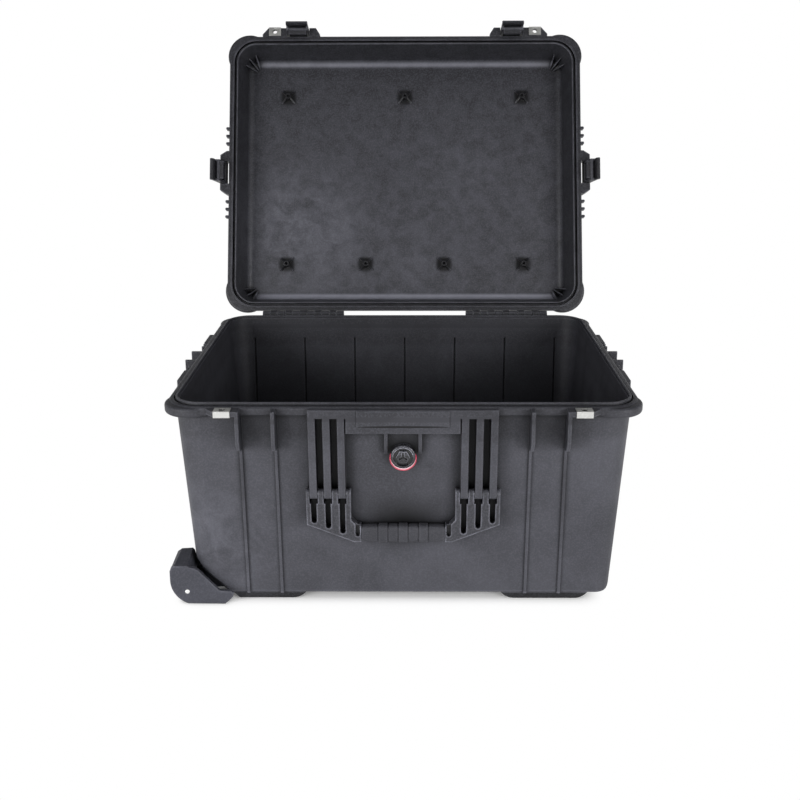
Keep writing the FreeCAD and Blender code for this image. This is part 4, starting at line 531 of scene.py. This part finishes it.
finishes = {
    "base_plastic": mouldedMaterial("shellPlastic", shellLook),
    "lid_plastic": mouldedMaterial("lidPlastic", lidLook),
    "latch_plastic": mouldedMaterial("latchPlastic", latchLook),
    "handle_plastic": mouldedMaterial("handlePlastic", handleLook),
    "bracket_plastic": mouldedMaterial("bracketPlastic", bracketLook),
    "fitting_plastic": mouldedMaterial("fittingPlastic", fittingLook),
    "grip_rubber": mouldedMaterial("gripRubber", gripLook),
    "seal_rubber": mouldedMaterial("sealRubber", sealLook),
    "tyre_rubber": mouldedMaterial("tyreRubber", tyreLook),
    "hub_plastic": mouldedMaterial("hubPlastic", hubLook),
    "red_ring": mouldedMaterial("ringRed", ringLook),
    "tube_aluminium": metalMaterial("tubeAluminium", tubeLook),
    "steel": metalMaterial("brightSteel", steelLook),
}
ownFinishes = {"valve_body": mouldedMaterial("valvePlastic", valveLook)}  # nodes that differ from their slot
ownFinishes["front_axle"] = ownFinishes["rear_axle"] = metalMaterial("axleSteel", axleLook)
ownFinishes["bracket_screws"] = ownFinishes["guide_screws"] = metalMaterial("blackScrews", screwLook)
print("materials made:", len(finishes) + len(set(ownFinishes.values())))

nodeSlots = {row["node"]: row["material_slot"] for row in frame["record"]["subparts"]}
for name, item in nodes.items():
    for slot in item.material_slots:
        slot.material = ownFinishes.get(name, finishes[nodeSlots[name]])
print("materials on", len(nodeSlots), "nodes")


# Surfaces. Points come as an array of rows x columns x 3, in metres; each square of neighbours becomes a face.
def gridFaces(rows, columns, wrapRows):
    r, c = np.meshgrid(np.arange(rows if wrapRows else rows - 1), np.arange(columns), indexing="ij")
    below, beside = (r + 1) % rows, (c + 1) % columns
    corners = [r * columns + c, below * columns + c, below * columns + beside, r * columns + beside]
    return np.stack(corners, -1).reshape(-1, 4)


def surfacePiece(name, points, slot, body, wrapRows=True, flip=False):
    rows, columns = points.shape[:2]
    faces = gridFaces(rows, columns, wrapRows)
    polygons = (faces[:, ::-1] if flip else faces).tolist()
    if not wrapRows:  # close the open ends with one face each
        first = np.arange(columns)
        last = first + (rows - 1) * columns
        polygons += [first[::-1].tolist(), last.tolist()]
    mesh = bpy.data.meshes.new(name)
    mesh.from_pydata(points.reshape(-1, 3).tolist(), [], polygons)
    mesh.polygons.foreach_set("use_smooth", np.ones(len(polygons), dtype=bool))
    mesh.materials.append(finishes[slot])
    piece = bpy.data.objects.new(name, mesh)
    bpy.context.scene.collection.objects.link(piece)
    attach(piece, body)
    return piece


def turnX(points, angle, centre=(0.0, 0.0, 0.0)):  # y and z turned by an angle about a centre, x kept
    c, s = math.cos(angle), math.sin(angle)
    x, y, z = np.moveaxis(points - np.array(centre), -1, 0)
    return np.stack([x, c * y - s * z, s * y + c * z], -1) + np.array(centre)


def turnZ(points, quarter):  # quarter turns about the upright axis
    c, s = round(math.cos(quarter * math.pi / 2)), round(math.sin(quarter * math.pi / 2))
    x, y, z = np.moveaxis(points, -1, 0)
    return np.stack([c * x - s * y, s * x + c * y, z], -1)


def smooth(value, low, high):  # cubic step from 0 at low to 1 at high
    t = np.clip((value - low) / (high - low), 0.0, 1.0)
    return t * t * (3.0 - 2.0 * t)


def fullTurn(steps):
    return np.linspace(0.0, 2 * math.pi, steps, endpoint=False)


def squared(angle, power):  # unit superellipse: the cosine and sine, each raised to 2 / power with its sign kept
    c, s = np.cos(angle), np.sin(angle)
    return np.sign(c) * np.abs(c) ** (2.0 / power), np.sign(s) * np.abs(s) ** (2.0 / power)


caseForm = {
    "cornerX": 0.254, "cornerY": 0.1905, "hinge": (0.0, 0.2435, 0.2783), "lidAngle": -109.0,
    "wallLean": math.atan2(18.0, 269.0),
}


# Lid seal: a superellipse bead, a little narrower below, carried round the rounded rectangle of the lid's groove
# and turned open with the lid.
sealSet = {
    "out": 0.0356, "low": 0.2822, "high": 0.2859, "halfWidth": 0.0018, "power": 2.6, "taper": 0.12, "around": 20,
    "perCorner": 14,
}


def makeSeal():
    turn = np.linspace(0.0, math.pi / 2, sealSet["perCorner"])
    angle = (turn[None, :] + np.arange(4)[:, None] * math.pi / 2).ravel()
    signs = np.repeat([(1, 1), (-1, 1), (-1, -1), (1, -1)], sealSet["perCorner"], axis=0)
    centre = signs * np.array([caseForm["cornerX"], caseForm["cornerY"]])
    c, s = squared(fullTurn(sealSet["around"]), sealSet["power"])
    n = sealSet["out"] + sealSet["halfWidth"] * c * (1.0 - sealSet["taper"] * (1.0 - s))
    z = (sealSet["low"] + sealSet["high"]) / 2 + (sealSet["high"] - sealSet["low"]) / 2 * s
    x = centre[:, :1] + n[None, :] * np.cos(angle)[:, None]
    y = centre[:, 1:] + n[None, :] * np.sin(angle)[:, None]
    points = np.stack([x, y, np.broadcast_to(z, x.shape)], -1)
    points = turnX(points, math.radians(caseForm["lidAngle"]), caseForm["hinge"])
    piece = surfacePiece("lidSeal", points, "seal_rubber", "lid")
    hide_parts("lid_gasket")


# Hand grips: a superellipse section carried along the bar, swelled a little in the middle, rounded off at its ends,
# with three raised bands and a narrow bell-shaped groove pressed in on both sides of each band.
gripSet = {
    "half": 0.0537, "depth": 0.0070, "height": 0.0110, "back": -0.0005, "drop": 0.056, "crown": 0.0006, "power": 3.2,
    "bands": (-0.026, 0.0, 0.026), "bandHalf": 0.0055, "bandRise": 0.0009, "bandSoft": 0.0004, "groove": 0.0008,
    "grooveHalf": 0.0008, "grooveGap": 0.001, "endRound": 0.0012, "endSteps": 5, "endGap": 0.0015, "steps": 361,
    "around": 72, "pivotOut": 0.038104, "pivotUp": 0.160,
}


def makeGrip(wall, quarter, reach):
    g = gripSet
    edge = g["endRound"] * (1.0 - np.cos(np.linspace(0.0, math.pi / 2, g["endSteps"])))
    straight = np.linspace(-g["half"] + g["endGap"], g["half"] - g["endGap"], g["steps"])
    along = np.concatenate([-g["half"] + edge, straight, g["half"] - edge[::-1]])
    nearEnd = np.clip(g["endRound"] - (g["half"] - np.abs(along)), 0.0, None)
    inset = np.sqrt(np.clip(g["endRound"] ** 2 - nearEnd ** 2, 0.0, None)) - g["endRound"]
    rise = g["crown"] * (1.0 - (along / g["half"]) ** 2) + inset
    for band in g["bands"]:
        away = np.abs(along - band) - g["bandHalf"]
        rise = rise + g["bandRise"] * (1.0 - smooth(away, -g["bandSoft"], g["bandSoft"]))
        rise = rise - g["groove"] * np.exp(-(((away - g["grooveGap"]) / g["grooveHalf"]) ** 2))
    c, s = squared(fullTurn(g["around"]), g["power"])
    y = g["back"] + c[None, :] * (g["depth"] + rise[:, None])
    z = -g["drop"] + s[None, :] * (g["height"] + rise[:, None])
    points = np.stack([np.broadcast_to(along[:, None], y.shape), y, z], -1)
    points = turnX(points, caseForm["wallLean"]) + np.array([0.0, -g["pivotOut"] - reach, g["pivotUp"]])
    piece = surfacePiece(wall + "HandGrip", turnZ(points, quarter), "grip_rubber", wall + "_handle", wrapRows=False)
    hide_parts(wall + "_grip")


# Tyres: a rounded band turned about the axle, with two grooves round it and notches across both shoulders.
tyreSet = {
    "at": (-0.2835, 0.2055, 0.020), "radius": 0.0195, "depth": 0.0050, "halfWidth": 0.0150, "power": 4.2,
    "crown": 0.0006, "treadRange": (0.5, 0.9), "grooveAt": 0.0042, "grooveHalf": 0.0009, "grooveDepth": 0.0009,
    "notches": 26, "notchTurn": 1.2, "notchRange": (0.35, 0.75), "shoulder": (0.0075, 0.0085), "notchDepth": 0.0008,
    "steps": 312, "around": 120,
}


def makeTyre(end, side):
    t = tyreSet
    spin = fullTurn(t["steps"])[:, None]
    c, s = squared(fullTurn(t["around"])[None, :], t["power"])
    across = t["halfWidth"] * c
    radius = t["radius"] - t["depth"] / 2 + t["depth"] / 2 * s - t["crown"] * c ** 2 * (s > 0)
    groove = 1.0 - smooth(np.abs(np.abs(across) - t["grooveAt"]), t["grooveHalf"] * 0.5, t["grooveHalf"])
    notch = smooth(np.cos(spin * t["notches"] + np.sign(across) * t["notchTurn"]), *t["notchRange"])
    notch = notch * smooth(np.abs(across), *t["shoulder"])
    tread = smooth(s, *t["treadRange"])
    radius = radius - tread * (t["grooveDepth"] * groove + t["notchDepth"] * notch)
    x = t["at"][0] + radius * np.cos(spin)
    z = t["at"][2] + radius * np.sin(spin)
    y = np.broadcast_to(side * t["at"][1] + across, x.shape)
    piece = surfacePiece(end + "Tread", np.stack([x, y, z], -1), "tyre_rubber", end + "_wheel", flip=True)
    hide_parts(end + "_tyre")


# Valve ring: a rounded collar turned about the valve, its middle sliding down from the stem to the rim.
ringSet = {
    "up": 0.2115, "wall": 0.22355, "inner": 0.00905, "outer": 0.0173, "drop": 0.0054, "thick": 0.0022, "power": 2.7,
    "steps": 120, "around": 40,
}


def makeValveRing():
    r = ringSet
    spin = fullTurn(r["steps"])[:, None]
    c, s = squared(fullTurn(r["around"])[None, :], r["power"])
    share = (c + 1.0) / 2
    radius = r["inner"] + (r["outer"] - r["inner"]) * share
    x = radius * np.cos(spin)
    z = radius * np.sin(spin) - r["drop"] * share
    y = np.broadcast_to(-r["thick"] / 2 + r["thick"] / 2 * s, x.shape)
    points = turnX(np.stack([x, y, z], -1), caseForm["wallLean"]) + np.array([0.0, -r["wall"], r["up"]])
    piece = surfacePiece("valveCollar", points, "red_ring", "base")
    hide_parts("valve_ring")


makeSeal()
makeGrip("front", 0, caseForm["cornerY"])
makeGrip("right", 1, caseForm["cornerX"])
makeGrip("left", 3, caseForm["cornerX"])
makeTyre("front", -1)
makeTyre("rear", 1)
makeValveRing()
print("surfaces made")


# Stage: pale floor that is plain white to the camera away from the case and keeps the shadow near it, with a painted
# shadow under it.
white = (1.0, 1.0, 1.0, 1.0)
stageSet = {
    "floorSize": 14.0, "floorColour": (0.93, 0.93, 0.93, 1.0), "lift": 0.55, "leastLift": 0.12, "contact": 0.03,
    "contactRange": (0.1, 0.9), "contactSamples": 8, "middle": (-0.02, 0.0), "case": (0.25, 0.205),
    "shadowFade": 0.04, "dark": (0.23, 0.14), "darkFade": 0.05, "bracketMiddle": (-0.262, -0.200),
    "bracket": (0.024, 0.014), "bracketFade": 0.014, "bracketLift": 0.03,
}


def seenDirectly(tree):
    path = put(tree, "ShaderNodeLightPath").outputs
    seen = maths(tree, "MAXIMUM", path["Is Camera Ray"], path["Is Glossy Ray"])
    return maths(tree, "MAXIMUM", seen, path["Is Transmission Ray"])


def awayFrom(tree, place, middle, plan):  # distance on the floor from a rectangle
    aside = vectors(tree, "ABSOLUTE", vectors(tree, "SUBTRACT", place, (*middle, 0.0)))
    aside = vectors(tree, "MAXIMUM", vectors(tree, "SUBTRACT", aside, (*plan, 0.0)))
    return vectors(tree, "LENGTH", aside)


def makeFloor():
    f = stageSet
    half = f["floorSize"] / 2
    corners = [(-half, -half, 0.0), (half, -half, 0.0), (half, half, 0.0), (-half, half, 0.0)]
    mesh = bpy.data.meshes.new("floor")
    mesh.from_pydata(corners, [], [(0, 1, 2, 3)])
    floor = bpy.data.objects.new("floor", mesh)
    bpy.context.scene.collection.objects.link(floor)
    material = bpy.data.materials.new("paleFloor")
    material.use_nodes = True
    tree = material.node_tree
    tree.nodes.clear()
    place = put(tree, "ShaderNodeTexCoord").outputs["Object"]
    matte = put(tree, "ShaderNodeBsdfDiffuse", {"Color": f["floorColour"]})
    shut = put(tree, "ShaderNodeAmbientOcclusion", {"Distance": f["contact"]}, samples=f["contactSamples"])
    # painted shadow: the floor's glow is dimmed by contact occlusion and fades out well under the case and behind the
    # bracket; the real shadow is kept only close round the foot
    inner = awayFrom(tree, place, f["middle"], f["dark"])
    outer = awayFrom(tree, place, f["middle"], f["case"])
    behind = awayFrom(tree, place, f["bracketMiddle"], f["bracket"])
    behind = ranged(tree, behind, 0.0, f["bracketFade"], f["bracketLift"], 1.0)
    seen = seenDirectly(tree)
    glow = ranged(tree, shut.outputs["AO"], *f["contactRange"], f["leastLift"], f["lift"])
    glow = times(tree, times(tree, seen, glow), ranged(tree, inner, 0.0, f["darkFade"]))
    lift = put(tree, "ShaderNodeEmission", {"Color": white, "Strength": times(tree, glow, behind)})
    lit = put(tree, "ShaderNodeAddShader", {0: matte.outputs[0], 1: lift.outputs[0]})
    plain = put(tree, "ShaderNodeEmission", {"Color": white, "Strength": 1.0})
    far = times(tree, ranged(tree, outer, 0.0, f["shadowFade"]), behind)
    mixing = {0: times(tree, far, seen), 1: lit.outputs[0], 2: plain.outputs[0]}
    mixed = put(tree, "ShaderNodeMixShader", mixing)
    put(tree, "ShaderNodeOutputMaterial", {"Surface": mixed.outputs[0]})
    mesh.materials.append(material)


worldSet = {"high": 0.06, "low": 0.36, "highFrom": 0.8, "mirrorHigh": 0.12, "mirrorRange": (0.12, 0.5)}


def makeWorld():
    world = bpy.data.worlds.new("softRoom")
    bpy.context.scene.world = world
    world.use_nodes = True
    tree = world.node_tree
    tree.nodes.clear()
    around = put(tree, "ShaderNodeTexCoord").outputs["Generated"]
    up = put(tree, "ShaderNodeSeparateXYZ", {0: around}).outputs["Z"]
    glow = ranged(tree, up, 0.0, worldSet["highFrom"], worldSet["low"], worldSet["high"])
    room = put(tree, "ShaderNodeBackground", {"Color": white, "Strength": glow})
    # white to the camera; in reflections white along the horizon and dim overhead, as under a dark studio ceiling
    camera = put(tree, "ShaderNodeLightPath").outputs["Is Camera Ray"]
    mirrored = ranged(tree, up, *worldSet["mirrorRange"], 1.0, worldSet["mirrorHigh"])
    bright = maths(tree, "MAXIMUM", camera, mirrored)
    plain = put(tree, "ShaderNodeBackground", {"Color": white, "Strength": bright})
    mixed = put(tree, "ShaderNodeMixShader", {0: seenDirectly(tree), 1: room.outputs[0], 2: plain.outputs[0]})
    put(tree, "ShaderNodeOutputWorld", {"Surface": mixed.outputs[0]})


lamps = {
    "leftBox": {"at": (-1.3, -1.45, 0.5), "towards": (-0.1, -0.2, 0.15), "size": 0.9, "power": 23.5},
    "rightBox": {"at": (1.3, -1.45, 0.5), "towards": (0.1, -0.2, 0.15), "size": 0.9, "power": 20.5},
    "topBox": {"at": (0.2, -0.1, 2.3), "towards": (0.0, 0.2, 0.3), "size": 0.9, "power": 6.0},
}


def makeLamps():
    for label, box in lamps.items():
        light = bpy.data.lights.new(label, "AREA")
        light.shape = "SQUARE"
        light.size = box["size"]
        light.energy = box["power"]
        lamp = bpy.data.objects.new(label, light)
        lamp.location = box["at"]
        aim = Vector(box["towards"]) - Vector(box["at"])
        lamp.rotation_euler = aim.to_track_quat("-Z", "Y").to_euler()
        bpy.context.scene.collection.objects.link(lamp)


view = {  # angles in degrees
    "at": (0.0085, -1.4533, 0.6958), "down": 15.157, "left": 0.560, "roll": -0.154, "lens": 46.69, "sensor": 36.0,
    "shiftUp": -0.0765, "farClip": 60.0,
}


def turning(degrees, axis):
    return Matrix.Rotation(math.radians(degrees), 4, axis)


def makeCamera():
    data = bpy.data.cameras.new("photoCamera")
    data.sensor_width = view["sensor"]
    data.lens = view["lens"]
    data.shift_y = view["shiftUp"]
    data.clip_end = view["farClip"]
    camera = bpy.data.objects.new("photoCamera", data)
    aim = turning(view["left"], "Z") @ turning(90.0 - view["down"], "X") @ turning(view["roll"], "Z")
    camera.matrix_world = Matrix.Translation(view["at"]) @ aim
    bpy.context.scene.collection.objects.link(camera)
    bpy.context.scene.camera = camera


makeFloor()
makeWorld()
makeLamps()
makeCamera()
bpy.context.scene.view_settings.view_transform = "Standard"
print("stage, lamps and camera ready")
